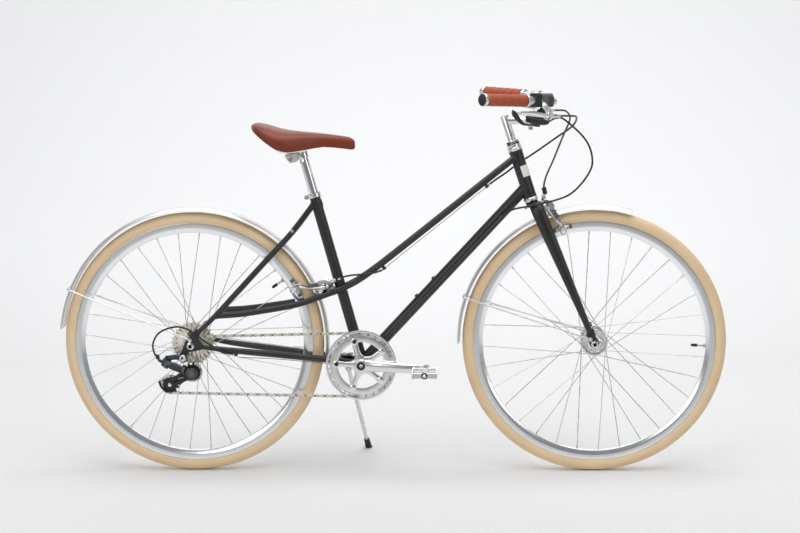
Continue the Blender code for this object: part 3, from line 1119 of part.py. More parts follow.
def build_cables():
    pivot_right, _ = lever_line(-1)
    pivot_left, _ = lever_line(1)
    start = pivot_right - grip_axis(-1) * 41.5
    cable("rear_brake_cable", [
        ([start, start + vec(22, 12, -1), CLAMP + vec(111, -104, 13), CLAMP + vec(103, -58, -12), CLAMP + vec(61, -10, -46),
          CLAMP + vec(13, 22, -82), CLAMP + vec(-37, 27, -115), CLAMP + vec(-66, 3, -135), UPPER_STOP + WIRE_RUN * 25, UPPER_STOP + WIRE_RUN * 5.4], 18, 2.5),
        ([UPPER_STOP + WIRE_RUN * 4.8, LOWER_STOP - WIRE_RUN * 4.8], 2, 0.9),
        ([LOWER_STOP - WIRE_RUN * 5.4, BRIDGE + vec(116, -31.5, 53), BRIDGE + vec(96, -33.5, 50),
          BRIDGE + vec(74, -30, 47), BRIDGE + vec(54, -25, 45), BRIDGE + vec(30, -21.5, 40),
          BRIDGE + vec(15, -18.5, 32.5)], 8, 2.5)])
    start = pivot_left + -grip_axis(1) * 41.5
    hook = FRONT_BRAKE_GAP + 9.1
    cable("front_brake_cable", [
        ([start, start + vec(25, -12, -2), CLAMP + vec(103, 108, -2), CLAMP + vec(79, 72, -47), CLAMP + vec(47, 30, -112),
          steer(BRAKE_HEIGHT + 55.7, 47.6), steer(BRAKE_HEIGHT + 31, hook, -17)], 12, 2.5),
        ([steer(BRAKE_HEIGHT + 30, hook, -17), steer(BRAKE_HEIGHT + 19.5, hook, -17)], 2, 3.4)],
          steer(HEAD_TUBE_BOTTOM))
    nose = grip_point(198, -1) + POD_DROP + POD_NOSE
    along = down_tube_run()
    stop = down_tube_stop()
    cable("gear_cable", [
        ([nose + vec(1.5, 0, 0), nose + vec(25, -1, -2), CLAMP + vec(127, -140, -38), CLAMP + vec(144, -132, -83),
          CLAMP + vec(136, -112, -122), stop + vec(170, -75, 68), stop + vec(101, -46, 39), stop + vec(37, -32, 22),
          stop + along * 7 + vec(0, -23.5, 0)], 17, 2.5),
        ([stop - along * 2 + vec(0, -21.5, 0), BRACKET + along * 60 + vec(0, -18, -4)], 2, 0.9),
        ([hang(24, -16, -12), hang(12, -15, -20.6), hang(-10, -16, -21.5), hang(-30, -24, -12)], 4, 0.9),
        ([hang(-68, -31, -2), hang(-218, -43, 14.5), rear(125, -54, -33)], 3, 0.9)])
    cable("gear_cable_loop", [
        ([rear(110.5, -57, -24.3), rear(79, -72, -15), rear(29, -83, 22), rear(-4, -85, 46), rear(-39, -87, 53),
          rear(-79, -89, 38), rear(-96, -90, 9), rear(-93, -88.5, -16), rear(-86, -87.4, -28.5)], 14, 2.5)],
          HANGER + vec(0, -80, 0))


# Kickstand: bracket between the stays, skewed pivot, straight leg and rubber foot
STAND_FOOT = (BRACKET_X, STAND_REACH)
STAND_PIVOT = hang(-40, 25, -20)
STAND_AXIS = unit((-0.215, 1.0, 0.2))


def build_kickstand():
    foot = vec(STAND_FOOT[0], STAND_FOOT[1], STAND_FOOT[1] * math.tan(LEAN))
    down = unit(foot - STAND_PIVOT)
    reach = np.linalg.norm(foot - STAND_PIVOT)
    ears = [turned([(7.5, 8.0), (11.5, 8.0)], STAND_PIVOT, STAND_AXIS * s, 12) for s in (1, -1)]
    ahead = unit(vec(1, 0, 0) - STAND_AXIS * STAND_AXIS[0])
    above = np.cross(ahead, STAND_AXIS)
    webs = [block(STAND_PIVOT + STAND_AXIS * s * 9.6 + above * 7, (15, 3.8, 16), ahead, above) for s in (1, -1)]
    solids = [block(hang(-40, 0, 5.5), (26, 24, 25)), block(hang(-42, 9, -7.35), (26, 50, 3.5)),
              block(hang(-40, 0, 18.5), (26, 44, 4)), turned([(-9, 3.6), (9, 3.6)], STAND_PIVOT, STAND_AXIS, 10)]
    node("kickstand_bracket", solids + ears + webs, "silver")
    leg = [turned([(-7.1, 9.0), (7.1, 9.0)], STAND_PIVOT, STAND_AXIS, 14),
           sweep([STAND_PIVOT - STAND_AXIS * 3.2 + down * 5, STAND_PIVOT - STAND_AXIS * 2.4 + down * 16,
                  STAND_PIVOT + down * 48, foot - down * 12], [5.4, 5.6, 6.2, 5.0], 10)]
    node("kickstand_leg", leg, "silver", STAND_PIVOT,
         cutters=[turned([(-12, 4.0), (12, 4.0)], STAND_PIVOT, STAND_AXIS, 10)])
    rubber = turned([(reach - 36, 7.2), (reach - 12, 8.6), (reach + 10, 9.4)], STAND_PIVOT, down, 12)
    floor = block((STAND_FOOT[0], STAND_FOOT[1], 0), (200, 200, 60), (1, 0, 0), (0, -math.sin(LEAN), math.cos(LEAN)))
    floor = moved(floor, vec(0, math.sin(LEAN), -math.cos(LEAN)) * (30 + TREAD_DIP)
                  + vec(0, 0, STAND_FOOT[1] * math.tan(LEAN)))
    bore = turned([(reach - 60, 5.9), (reach - 11.5, 5.9)], STAND_PIVOT, down, 12)
    node("kickstand_foot", [rubber], "black_rubber", STAND_PIVOT, cutters=[bore, floor])


build_frame()
build_headset()
build_fork()
build_wheel("front", FRONT_X, (-FRONT_FLANGE_Y, FRONT_FLANGE_Y), FRONT_FLANGE_RADIUS, (-38.0, 38.0),
            math.radians(2.6), math.radians(-2.6))
build_wheel("rear", REAR_X, (REAR_FLANGE_RIGHT_Y, REAR_FLANGE_LEFT_Y), REAR_FLANGE_RADIUS, (-23.3, 38.0),
            math.radians(86.2 - 90), math.radians(34.5))
build_axle("front_axle", FRONT_X, FRONT_DROPOUT_Y, -38.5, 38.5, 7.5)
build_axle("rear_axle", REAR_X, REAR_DROPOUT_Y, -61.0, 38.5, 8.5)
build_mudguards()
build_seat()
build_drive()
build_brakes()
build_cockpit()
build_cables()
build_kickstand()
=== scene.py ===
# City bike: the looks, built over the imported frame.
# Shapes are written in bike coordinates, in millimetres: x forward from midway between the wheels,
# y to the rider's left, z up from the floor of the upright bike. toWorld leans them onto the kickstand.
import bpy
import bmesh
import json
import math
import numpy as np
from mathutils import Matrix, Vector


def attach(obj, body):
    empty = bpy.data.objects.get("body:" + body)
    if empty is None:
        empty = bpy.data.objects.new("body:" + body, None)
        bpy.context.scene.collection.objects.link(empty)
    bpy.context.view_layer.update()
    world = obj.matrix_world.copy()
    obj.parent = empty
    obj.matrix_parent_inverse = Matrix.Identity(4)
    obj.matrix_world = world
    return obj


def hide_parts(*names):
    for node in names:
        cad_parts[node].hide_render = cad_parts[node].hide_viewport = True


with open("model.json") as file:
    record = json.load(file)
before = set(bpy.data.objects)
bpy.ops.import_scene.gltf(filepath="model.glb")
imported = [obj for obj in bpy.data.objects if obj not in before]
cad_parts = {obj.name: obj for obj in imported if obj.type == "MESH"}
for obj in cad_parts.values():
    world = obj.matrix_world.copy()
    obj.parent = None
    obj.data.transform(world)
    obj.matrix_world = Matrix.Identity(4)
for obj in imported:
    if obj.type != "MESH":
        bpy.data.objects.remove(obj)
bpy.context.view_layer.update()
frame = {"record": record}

# what several pieces share; each piece's own values stand beside its code
stance = {"lean": math.radians(4.0), "shift": (6.6, -69.1, 0.293)}
wheel = {"frontX": 529.0, "rearX": -529.0, "axleZ": 346.0, "rimOuter": 317.4, "rimInner": 291.5, "rimHalf": 12.4,
         "tyreMiddle": 328.3, "tyreHigh": 17.7, "tyreHalf": 17.2, "spokes": 32, "spokeRadius": 1.05, "swing": 67.5}
steering = {"angle": math.radians(72.5), "rake": 44.4, "tubeBottom": 414.0, "tubeTop": 541.0, "brake": 390.0}
drive = {"pitch": 12.7, "ring": 42, "cogs": (11, 13, 15, 17, 19, 21, 24, 28), "ringY": -47.5, "cogY": -58.5,
         "cogStep": 4.7, "crank": 170.0, "crankAngle": math.radians(-2.6), "links": 119, "jockey": 11,
         "upper": (-527.0, 274.0), "cage": 69.0, "cageAngle": math.radians(208.4)}
bar = {"end": np.array([241.0, 275.0, 992.0]), "sweep": np.array([-0.79, 0.61, 0.045])}


# Vectors and paths
def vec(*values):
    return np.array(values, dtype=float)


def unit(v):
    v = np.asarray(v, dtype=float)
    return v / np.linalg.norm(v)


bracket = vec(-82, 0, 291)
seatTop = vec(-202.7, 0, 731)
clamp = vec(366.9, 0, 927.2)
upSeat = unit(seatTop - bracket)
upSteer = vec(-math.cos(steering["angle"]), 0, math.sin(steering["angle"]))
outSteer = vec(math.sin(steering["angle"]), 0, math.cos(steering["angle"]))
steerFoot = vec(wheel["frontX"], 0, wheel["axleZ"]) - outSteer * steering["rake"]


def toWorld(points):
    # leans the bike, moves it over the floor's middle and turns millimetres into metres
    c, s = math.cos(stance["lean"]), math.sin(stance["lean"])
    x, y, z = np.asarray(points, dtype=float).reshape(-1, 3).T
    return (np.stack([x, y * c + z * s, z * c - y * s], 1) + stance["shift"]) * 0.001


def steer(height, out=0.0, y=0.0):
    # a place by its height along the steering axis and its distance ahead of it
    return steerFoot + upSteer * height + outSteer * out + vec(0, y, 0)


def axleAt(x):
    return vec(x, 0, wheel["axleZ"])


def heading(degrees):
    # a direction in the bike's plane, counted from straight ahead towards up
    return vec(math.cos(math.radians(degrees)), 0, math.sin(math.radians(degrees)))


def around(x, radius, degrees, y=0.0):
    # a place round the wheel at x
    return axleAt(x) + heading(degrees) * radius + vec(0, y, 0)


def gripAxis(side):
    # along the grip towards its end, side being 1 for the left and -1 for the right
    return unit(unit(bar["sweep"]) * vec(1, side, 1))


def gripPoint(distance, side, forward=0.0, down=0.0):
    # a place by its distance from the bar's end along the grip
    along = gripAxis(side)
    ahead = unit(vec(along[1] * side, -along[0] * side, 0))
    return bar["end"] * vec(1, side, 1) - along * distance + ahead * forward - vec(0, 0, down)


def lengthsAlong(points):
    # the running length at each point of a path
    return np.concatenate([[0], np.cumsum(np.linalg.norm(np.diff(points, axis=0), axis=1))])


def smoothPath(corners, steps):
    # a Catmull-Rom curve through the corners, then even steps along it
    c = np.asarray(corners, dtype=float)
    c = np.vstack([2 * c[0] - c[1], c, 2 * c[-1] - c[-2]])
    t = np.linspace(0, 1, 24, endpoint=False)[:, None]
    dense = [0.5 * (2 * q + (r - p) * t + (2 * p - 5 * q + 4 * r - s) * t ** 2 + (3 * q - p - 3 * r + s) * t ** 3)
             for p, q, r, s in zip(c[:-3], c[1:-2], c[2:-1], c[3:])]
    dense = np.vstack(dense + [c[-2:-1]])
    run = lengthsAlong(dense)
    want = np.linspace(0, run[-1], steps)
    return np.stack([np.interp(want, run, dense[:, k]) for k in range(3)], axis=1)


def soften(points, amount, closed=False, steps=3):
    # each corner of a profile or outline becomes a short quadratic curve
    pts = [np.asarray(p, dtype=float) for p in points]
    out = []
    for k, p in enumerate(pts):
        if not closed and k in (0, len(pts) - 1):
            out.append(p)
            continue
        a, b = pts[k - 1] - p, pts[(k + 1) % len(pts)] - p
        la, lb = np.linalg.norm(a), np.linalg.norm(b)
        cut = min(amount, 0.45 * la, 0.45 * lb)
        first, last = p + a * cut / la, p + b * cut / lb
        out += [(1 - t) ** 2 * first + 2 * t * (1 - t) * p + t * t * last for t in np.linspace(0, 1, steps + 1)]
    return np.array(out)


def graded(steps, stops, values):
    # a width that changes evenly between the given shares of a path
    return np.interp(np.linspace(0, 1, steps), stops, values)


def turnOf(sides, phase=0.0):
    # even angles round a circle
    return (np.arange(sides) + phase) * 2 * math.pi / sides


# Shapes: each is (points, faces, flow), flow being two running lengths kept for the materials
def skin(rings, around=True, along=False, caps=True, flow=None):
    # four-sided faces over a grid of points, closed round each ring and, with along, from last ring to first
    rings = np.asarray(rings, dtype=float)
    rows, cols = rings.shape[:2]
    r, c = np.meshgrid(np.arange(rows if along else rows - 1), np.arange(cols if around else cols - 1), indexing="ij")
    r2, c2 = (r + 1) % rows, (c + 1) % cols
    faces = np.stack([r * cols + c, r * cols + c2, r2 * cols + c2, r2 * cols + c], -1).reshape(-1, 4).tolist()
    if caps and not along:
        faces += [list(range(cols - 1, -1, -1)), list(range((rows - 1) * cols, rows * cols))]
    if flow is None:
        flow = np.stack(np.meshgrid(lengthsAlong(rings[:, 0]), np.arange(cols) / cols, indexing="ij"), -1)
    return rings.reshape(-1, 3), faces, np.asarray(flow, dtype=float).reshape(-1, 2)


def tube(path, radius, sides=20, flat=None, side=None, ends="edge", edge=0.7):
    # an oval ring at each step of the path, square to it; flat is its half-width along the direction called side
    path = np.asarray(path, dtype=float)
    spread = lambda value: np.array(np.broadcast_to(np.asarray(value, dtype=float), (len(path),)))
    widths = [spread(radius), spread(radius if flat is None else flat)]
    first, last = unit(path[1] - path[0]), unit(path[-1] - path[-2])
    if ends == "edge":
        path = np.vstack([path[:1], path[:1] + first * edge, path[1:-1], path[-1:] - last * edge, path[-1:]])
        widths = [np.concatenate([[w[0] - edge], w, [w[-1] - edge]]) for w in widths]
    elif ends == "round":
        bow = np.radians([4, 25, 48, 70])
        head, tail = min(w[0] for w in widths), min(w[-1] for w in widths)
        path = np.vstack([path[0] + np.outer(1 - np.cos(bow), first) * head, path[:1] + first * head, path[1:-1],
                          path[-1:] - last * tail, path[-1] - np.outer(1 - np.cos(bow[::-1]), last) * tail])
        widths = [np.concatenate([np.sin(bow) * w[0], w, np.sin(bow[::-1]) * w[-1]]) for w in widths]
    steps = np.diff(path, axis=0)
    steps /= np.linalg.norm(steps, axis=1)[:, None]
    tangents = np.vstack([steps[:1], steps[:-1] + steps[1:], steps[-1:]])
    tangents /= np.linalg.norm(tangents, axis=1)[:, None]
    guess = vec(0, 1, 0) if abs(tangents[0][1]) < 0.8 else vec(0, 0, 1)
    if side is not None:
        guess = np.asarray(side, dtype=float)
    turn = turnOf(sides, 0.5)
    rings = []
    for spot, t, high, wide in zip(path, tangents, *widths):
        across = unit(guess - t * np.dot(guess, t))
        if side is None:
            guess = across
        rings.append(spot + np.outer(np.cos(turn) * wide, across) + np.outer(np.sin(turn) * high, np.cross(t, across)))
    return skin(rings)


def bent(corners, steps, radius, sides=20, **more):
    # a tube along a smooth path
    return tube(smoothPath(corners, steps), radius, sides, **more)


def frameOf(axis):
    # the axis and two directions square to it
    axis = unit(axis)
    across = unit(np.cross(axis, vec(0, 0, 1) if abs(axis[2]) < 0.9 else vec(1, 0, 0)))
    return axis, across, np.cross(axis, across)


def lathe(profile, base, axis=(0, 1, 0), sides=40, closed=False, round=0.0):
    # turned about an axis from (along, radius) pairs
    profile = soften(profile, round, closed) if round else np.asarray(profile, dtype=float)
    axis, across, up = frameOf(axis)
    turn = turnOf(sides, 0.5)
    circle = np.outer(np.cos(turn), across) + np.outer(np.sin(turn), up)
    rings = np.asarray(base) + profile[:, 0][:, None, None] * axis + profile[:, 1][:, None, None] * circle
    flow = np.stack(np.meshgrid(lengthsAlong(profile), np.arange(sides) / sides, indexing="ij"), -1)
    return skin(rings, along=closed, flow=flow)


def hollow(profile, base, axis=(0, 1, 0), sides=40, round=0.0):
    # turned from a closed profile, so it has a bore
    return lathe(profile, base, axis, sides, True, round)


def pin(low, high, radius, base, axis=(0, 1, 0), sides=20, round=0.0):
    # a plain cylinder between two distances along the axis
    return lathe([(low, radius), (high, radius)], base, axis, sides, round=round)


def slab(outline, base, u, v, thick, edge=0.6, round=0.0):
    # a flat plate from an outline in the directions u and v, centred on its thickness, with eased edges
    pts = soften(outline, round, True, 4) if round else np.asarray(outline, dtype=float)
    area = 0.5 * np.sum(pts[:, 0] * np.roll(pts[:, 1], -1) - np.roll(pts[:, 0], -1) * pts[:, 1])
    if area < 0:
        pts = pts[::-1]
    ahead, behind = np.roll(pts, -1, 0) - pts, pts - np.roll(pts, 1, 0)
    run = ahead / np.linalg.norm(ahead, axis=1)[:, None] + behind / np.linalg.norm(behind, axis=1)[:, None]
    inward = np.stack([-run[:, 1], run[:, 0]], 1) / np.maximum(np.linalg.norm(run, axis=1), 1e-6)[:, None]
    u, v, h = unit(u), unit(v), thick / 2
    rings = []
    for inset, height in ((edge, -h), (0, -h + edge), (0, h - edge), (edge, h)):
        q = pts + inward * inset
        rings.append(np.asarray(base) + np.outer(q[:, 0], u) + np.outer(q[:, 1], v) + np.cross(u, v) * height)
    return skin(rings)


def block(centre, size, forward=(1, 0, 0), up=(0, 0, 1), edge=0.8):
    # a box from its length, width and height, with rounded corners
    forward = unit(forward)
    up = unit(np.asarray(up, dtype=float) - forward * np.dot(up, forward))
    a, b = size[0] / 2, size[2] / 2
    return slab([(-a, -b), (a, -b), (a, b), (-a, b)], centre, forward, up, size[1], edge, edge * 1.5)


def flatPlate(outline, y0, y1, edge=0.7, round=2.0):
    # a plate lying in the bike's own plane, from an (x, z) outline
    return slab(outline, (0, (y0 + y1) / 2, 0), (1, 0, 0), (0, 0, 1), abs(y1 - y0), edge, round)


def arcBand(x, z, r0, r1, a0, a1, y0, y1, steps=10):
    # a piece of a flat ring between two radii and two angles
    corners = [(r0, y0), (r1, y0), (r1, y1), (r0, y1)]
    return skin([[(x + r * math.cos(a), y, z + r * math.sin(a)) for r, y in corners]
                 for a in np.radians(np.linspace(a0, a1, steps))])


def ball(centre, radius, axis=(0, 0, 1), squash=1.0):
    # half a turn's profile, (cos, sin), turned about the axis and squashed along it
    turn = np.linspace(0.06, math.pi - 0.06, 12)
    return lathe([(-radius * squash * math.cos(t), radius * math.sin(t)) for t in turn], centre, axis, 20)


def ringWire(centre, axis, major, minor):
    # a torus: a small circle carried round a large one
    axis, across, up = frameOf(axis)
    turn, cut = turnOf(28), turnOf(8)
    out = np.outer(np.cos(turn), across) + np.outer(np.sin(turn), up)
    return skin([centre + o * (major + minor * np.cos(cut))[:, None] + axis * (minor * np.sin(cut))[:, None]
                 for o in out], along=True)


def bothSides(shape):
    # a shape and its mirror image across the bike's middle
    points, faces, flow = shape
    return [shape, (points * vec(1, -1, 1), [f[::-1] for f in faces], flow)]


def joined(shapes):
    # several shapes as one
    points, faces, flows, start = [], [], [], 0
    for p, f, w in shapes:
        points.append(p)
        faces += [[start + i for i in loop] for loop in f]
        flows.append(w)
        start += len(p)
    return np.vstack(points), faces, np.vstack(flows)


def hexHead(centre, axis, radius, height):
    # a six-sided bolt head with an eased top
    return lathe([(0, radius), (height - 1, radius), (height, radius * 0.86)], centre, axis, 6)


def socketHead(centre, axis, radius, height):
    # a round bolt head with a sunk socket
    profile = [(0, radius), (height, radius), (height, radius * 0.55), (height * 0.45, radius * 0.5)]
    return lathe(profile, centre, axis, 24, round=radius * 0.16)


# Materials
def nodeOf(tree, kind, **values):
    # a shader node with its settings and unlinked inputs
    n = tree.nodes.new(kind)
    for key, value in values.items():
        if hasattr(n, key):
            setattr(n, key, value)
        else:
            n.inputs[key.replace("_", " ")].default_value = value
    return n


def shaderOf(name, colour, rough, metal=0.0, **more):
    m = bpy.data.materials.new(name)
    m.use_nodes = True
    s = m.node_tree.nodes["Principled BSDF"]
    for key, value in {"Base_Color": (*colour, 1), "Roughness": rough, "Metallic": metal, **more}.items():
        s.inputs[key.replace("_", " ")].default_value = value
    m.diffuse_color = (*colour, 1)
    return m, m.node_tree, s


def feed(tree, shader, **sockets):
    # links values to a node's inputs by name
    for key, value in sockets.items():
        tree.links.new(value, shader.inputs[key.replace("_", " ")])


def objectPlace(tree):
    return nodeOf(tree, "ShaderNodeTexCoord").outputs["Object"]


def noiseOf(tree, scale, detail=3.0):
    n = nodeOf(tree, "ShaderNodeTexNoise", Scale=scale, Detail=detail)
    feed(tree, n, Vector=objectPlace(tree))
    return n.outputs["Fac"]


def ranged(tree, value, low, high, fromLow=0.3, fromHigh=0.7):
    r = nodeOf(tree, "ShaderNodeMapRange", From_Min=fromLow, From_Max=fromHigh, To_Min=low, To_Max=high)
    feed(tree, r, Value=value)
    return r.outputs["Result"]


def mixed(tree, factor, first, second):
    m = nodeOf(tree, "ShaderNodeMix", data_type="RGBA")
    tree.links.new(factor, m.inputs["Factor"])
    for socket, value in ((m.inputs["A"], first), (m.inputs["B"], second)):
        if isinstance(value, tuple):
            socket.default_value = (*value, 1)
        else:
            tree.links.new(value, socket)
    return m.outputs["Result"]


def mathOf(tree, operation, a, b=None):
    m = nodeOf(tree, "ShaderNodeMath", operation=operation)
    for socket, value in zip(m.inputs, (a, b)):
        if isinstance(value, (int, float)):
            socket.default_value = value
        elif value is not None:
            tree.links.new(value, socket)
    return m.outputs[0]


def bumpOf(tree, shader, height, distance, strength):
    b = nodeOf(tree, "ShaderNodeBump", Distance=distance, Strength=strength)
    feed(tree, b, Height=height)
    feed(tree, shader, Normal=b.outputs["Normal"])


def flowOf(tree):
    split = nodeOf(tree, "ShaderNodeSeparateXYZ")
    feed(tree, split, Vector=nodeOf(tree, "ShaderNodeAttribute", attribute_name="flow").outputs["Vector"])
    return split.outputs["X"], split.outputs["Y"]


def paintLook():
    m, t, s = shaderOf("satinBlackPaint", (0.013, 0.013, 0.014), 0.4, Coat_Weight=0.25, Coat_Roughness=0.28)
    cloud = ranged(t, noiseOf(t, 9, 5), 0, 1, 0.45, 0.75)
    feed(t, s, Roughness=ranged(t, noiseOf(t, 45, 4), 0.33, 0.44),
         Base_Color=mixed(t, cloud, (0.011, 0.011, 0.012), (0.021, 0.021, 0.022)))
    bumpOf(t, s, noiseOf(t, 1400, 2), 0.00004, 0.35)
    return m


def metalLook(name, colour, low, high, tint=0.9):
    # low and high are the roughness; tint is how dark the slow clouding gets
    m, t, s = shaderOf(name, colour, low, 1.0)
    feed(t, s, Roughness=ranged(t, noiseOf(t, 60, 5), low, high),
         Base_Color=mixed(t, noiseOf(t, 25, 4), colour, tuple(c * tint for c in colour)))
    bumpOf(t, s, noiseOf(t, 900, 2), 0.00001, 0.5)
    return m


def rimLook():
    # fine turned lines on the braking track
    m, t, s = shaderOf("turnedRim", (0.80, 0.81, 0.82), 0.3, 1.0)
    lines = mathOf(t, "SINE", mathOf(t, "MULTIPLY", flowOf(t)[0], 22.0))
    rough = mathOf(t, "ADD", ranged(t, lines, 0.17, 0.22, -1, 1), ranged(t, noiseOf(t, 12, 2), -0.02, 0.03))
    feed(t, s, Roughness=rough, Base_Color=mixed(t, noiseOf(t, 6, 2), (0.94, 0.95, 0.96), (0.90, 0.91, 0.92)))
    return m


def chainLook(name, colour):
    m, t, s = shaderOf(name, colour, 0.34, 0.95)
    dirt = ranged(t, noiseOf(t, 120, 4), 0, 1, 0.56, 0.76)
    feed(t, s, Roughness=ranged(t, noiseOf(t, 220, 3), 0.26, 0.46),
         Base_Color=mixed(t, dirt, colour, tuple(c * 0.45 for c in colour)))
    bumpOf(t, s, noiseOf(t, 800, 2), 0.00002, 0.3)
    return m


def cogLook():
    # flow x is the height above the tooth's root: the teeth are light and the webs between them darker, a painted shade
    # for the gaps where each cog shades the next
    m, t, s = shaderOf("nickelCogs", (0.80, 0.75, 0.66), 0.34, 0.9)
    clearOfRootShade = ranged(t, flowOf(t)[0], 0, 1, 0.6, 2.2)
    feed(t, s, Roughness=ranged(t, noiseOf(t, 220, 3), 0.26, 0.46),
         Base_Color=mixed(t, clearOfRootShade, (0.34, 0.31, 0.27), (0.86, 0.81, 0.72)))
    return m


def tyreLook():
    # flow x runs across the section in mm from bead to bead, y round the wheel from 0 to 1
    m, t, s = shaderOf("tanTyreRubber", (0.80, 0.60, 0.37), 0.78)
    x, y = flowOf(t)
    times = lambda a, b: mathOf(t, "MULTIPLY", a, b)
    middle = mathOf(t, "ABSOLUTE", mathOf(t, "SUBTRACT", x, 34.5))
    tread = ranged(t, middle, 1, 0, 13.5, 15.0)
    slant = mathOf(t, "ADD", times(y, 2 * math.pi * 300), times(middle, 0.55))
    dash = mathOf(t, "GREATER_THAN", mathOf(t, "SINE", slant), 0.55)
    row = mathOf(t, "GREATER_THAN", mathOf(t, "SINE", times(middle, 1.15)), 0.1)
    pattern = times(times(dash, row), tread)
    edge = ranged(t, middle, 0, 1, 29.5, 30.5)
    base = mixed(t, ranged(t, noiseOf(t, 14, 5), 0, 1), (0.87, 0.66, 0.42), (0.81, 0.60, 0.365))
    base = mixed(t, times(pattern, 0.45), base, (0.42, 0.27, 0.13))
    base = mixed(t, times(edge, 0.7), base, (0.20, 0.12, 0.06))
    feed(t, s, Base_Color=base, Roughness=ranged(t, noiseOf(t, 90, 3), 0.7, 0.86))
    bumpOf(t, s, mathOf(t, "ADD", times(noiseOf(t, 700, 3), 0.25), times(pattern, -1.0)), 0.0005, 0.6)
    return m


def grainedLook(name, first, second, low, high, grain, depth, sheen=0.0, gloss=0.5):
    # leather, moulded plastic and rubber: cells for the grain, a slow noise for the colour
    m, t, s = shaderOf(name, first, low, Sheen_Weight=sheen, Specular_IOR_Level=gloss)
    feed(t, s, Base_Color=mixed(t, ranged(t, noiseOf(t, 22, 5), 0, 1), first, second),
         Roughness=ranged(t, noiseOf(t, 130, 3), low, high))
    cells = nodeOf(t, "ShaderNodeTexVoronoi", Scale=grain)
    feed(t, cells, Vector=objectPlace(t))
    fine = mathOf(t, "MULTIPLY", noiseOf(t, grain * 0.5, 4), 0.6)
    bumpOf(t, s, mathOf(t, "ADD", cells.outputs["Distance"], fine), depth, 0.5)
    return m


def wrapLook():
    # flow y is the place across the wound strip: its lapped edge is darker
    m = grainedLook("gripLeather", (0.45, 0.095, 0.044), (0.40, 0.082, 0.038), 0.45, 0.58, 650, 0.00018, 0.05, 0.3)
    t = m.node_tree
    s = t.nodes["Principled BSDF"]
    base = s.inputs["Base Color"].links[0].from_socket
    seam = ranged(t, mathOf(t, "ABSOLUTE", mathOf(t, "SUBTRACT", flowOf(t)[1], 0.5)), 0, 1, 0.43, 0.48)
    feed(t, s, Base_Color=mixed(t, mathOf(t, "MULTIPLY", seam, 0.75), base, (0.07, 0.016, 0.010)))
    return m


looks = {
    "paint": paintLook(),
    "silver": metalLook("satinAluminium", (0.80, 0.80, 0.79), 0.24, 0.34),
    "polished": metalLook("polishedAluminium", (0.86, 0.86, 0.85), 0.19, 0.28),
    "chrome": metalLook("chromedSteel", (0.88, 0.88, 0.88), 0.04, 0.09, 0.97),
    "steel": metalLook("stainlessSteel", (0.62, 0.61, 0.59), 0.22, 0.32),
    "rim": rimLook(),
    "guard": metalLook("brushedGuard", (0.88, 0.88, 0.87), 0.38, 0.46, 0.96),
    "nickel": chainLook("nickelPlates", (0.82, 0.77, 0.67)),
    "oiled": chainLook("oiledPlates", (0.30, 0.26, 0.21)),
    "cog": cogLook(),
    "tyre": tyreLook(),
    "greyMetal": metalLook("greyAnodised", (0.085, 0.09, 0.10), 0.32, 0.42),
    "blackMetal": metalLook("blackSteel", (0.02, 0.02, 0.022), 0.3, 0.42),
    "black": grainedLook("blackPlastic", (0.014, 0.014, 0.015), (0.022, 0.022, 0.023), 0.36, 0.5, 900, 0.00005),
    "housing": grainedLook("cableHousing", (0.012, 0.012, 0.013), (0.018, 0.018, 0.019), 0.3, 0.4, 1200, 0.00003),
    "rubber": grainedLook("blackRubber", (0.018, 0.018, 0.018), (0.03, 0.03, 0.03), 0.7, 0.85, 600, 0.0001),
    "greyPlastic": grainedLook("greyPlastic", (0.105, 0.11, 0.12), (0.125, 0.13, 0.14), 0.42, 0.55, 900, 0.00004),
    "pad": grainedLook("brakePad", (0.10, 0.105, 0.11), (0.13, 0.135, 0.14), 0.7, 0.85, 700, 0.0001),
    "leather": grainedLook("brownLeather", (0.225, 0.040, 0.014), (0.185, 0.032, 0.012), 0.34, 0.44, 650, 0.00014,
                           0.02, 0.38),
    "wrap": wrapLook(),
    "cream": grainedLook("creamPlastic", (0.68, 0.67, 0.61), (0.64, 0.62, 0.57), 0.4, 0.5, 900, 0.00005),
    "brass": metalLook("brassValve", (0.68, 0.61, 0.48), 0.3, 0.4),
    "plate": grainedLook("palePlate", (0.90, 0.89, 0.82), (0.87, 0.86, 0.79), 0.3, 0.4, 900, 0.00002),
    # the inner wires are a dark grey in place of bright steel: painted shade, so they stay dark where they run in the
    # down tube's shade
    "wire": metalLook("innerWire", (0.16, 0.16, 0.16), 0.4, 0.5),
}


# Pieces
bodyOf = {node: name for name, nodes in frame["record"]["behaviour"]["bodies"].items() for node in nodes}


def piece(name, node, smooth=32, **shapes):
    # one object in a CAD node's place, riding on its body; each look is given its shape or its list of shapes
    parts = [joined(shape) if isinstance(shape, list) else shape for shape in shapes.values()]
    points, faces, flow = joined(parts)
    mesh = bpy.data.meshes.new(name)
    mesh.from_pydata(toWorld(points).tolist(), [], faces)
    mesh.polygons.foreach_set("material_index", [k for k, part in enumerate(parts) for face in part[1]])
    layer = mesh.attributes.new("flow", "FLOAT_VECTOR", "POINT")
    layer.data.foreach_set("vector", np.concatenate([flow, np.zeros((len(flow), 1))], 1).ravel())
    for look in shapes:
        mesh.materials.append(looks[look])
    work = bmesh.new()
    work.from_mesh(mesh)
    bmesh.ops.recalc_face_normals(work, faces=work.faces)
    work.to_mesh(mesh)
    work.free()
    mesh.polygons.foreach_set("use_smooth", [True] * len(mesh.polygons))
    mesh.set_sharp_from_angle(angle=math.radians(smooth))
    thing = bpy.data.objects.new(name, mesh)
    bpy.context.scene.collection.objects.link(thing)
    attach(thing, bodyOf[node])
    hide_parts(node)
    return thing


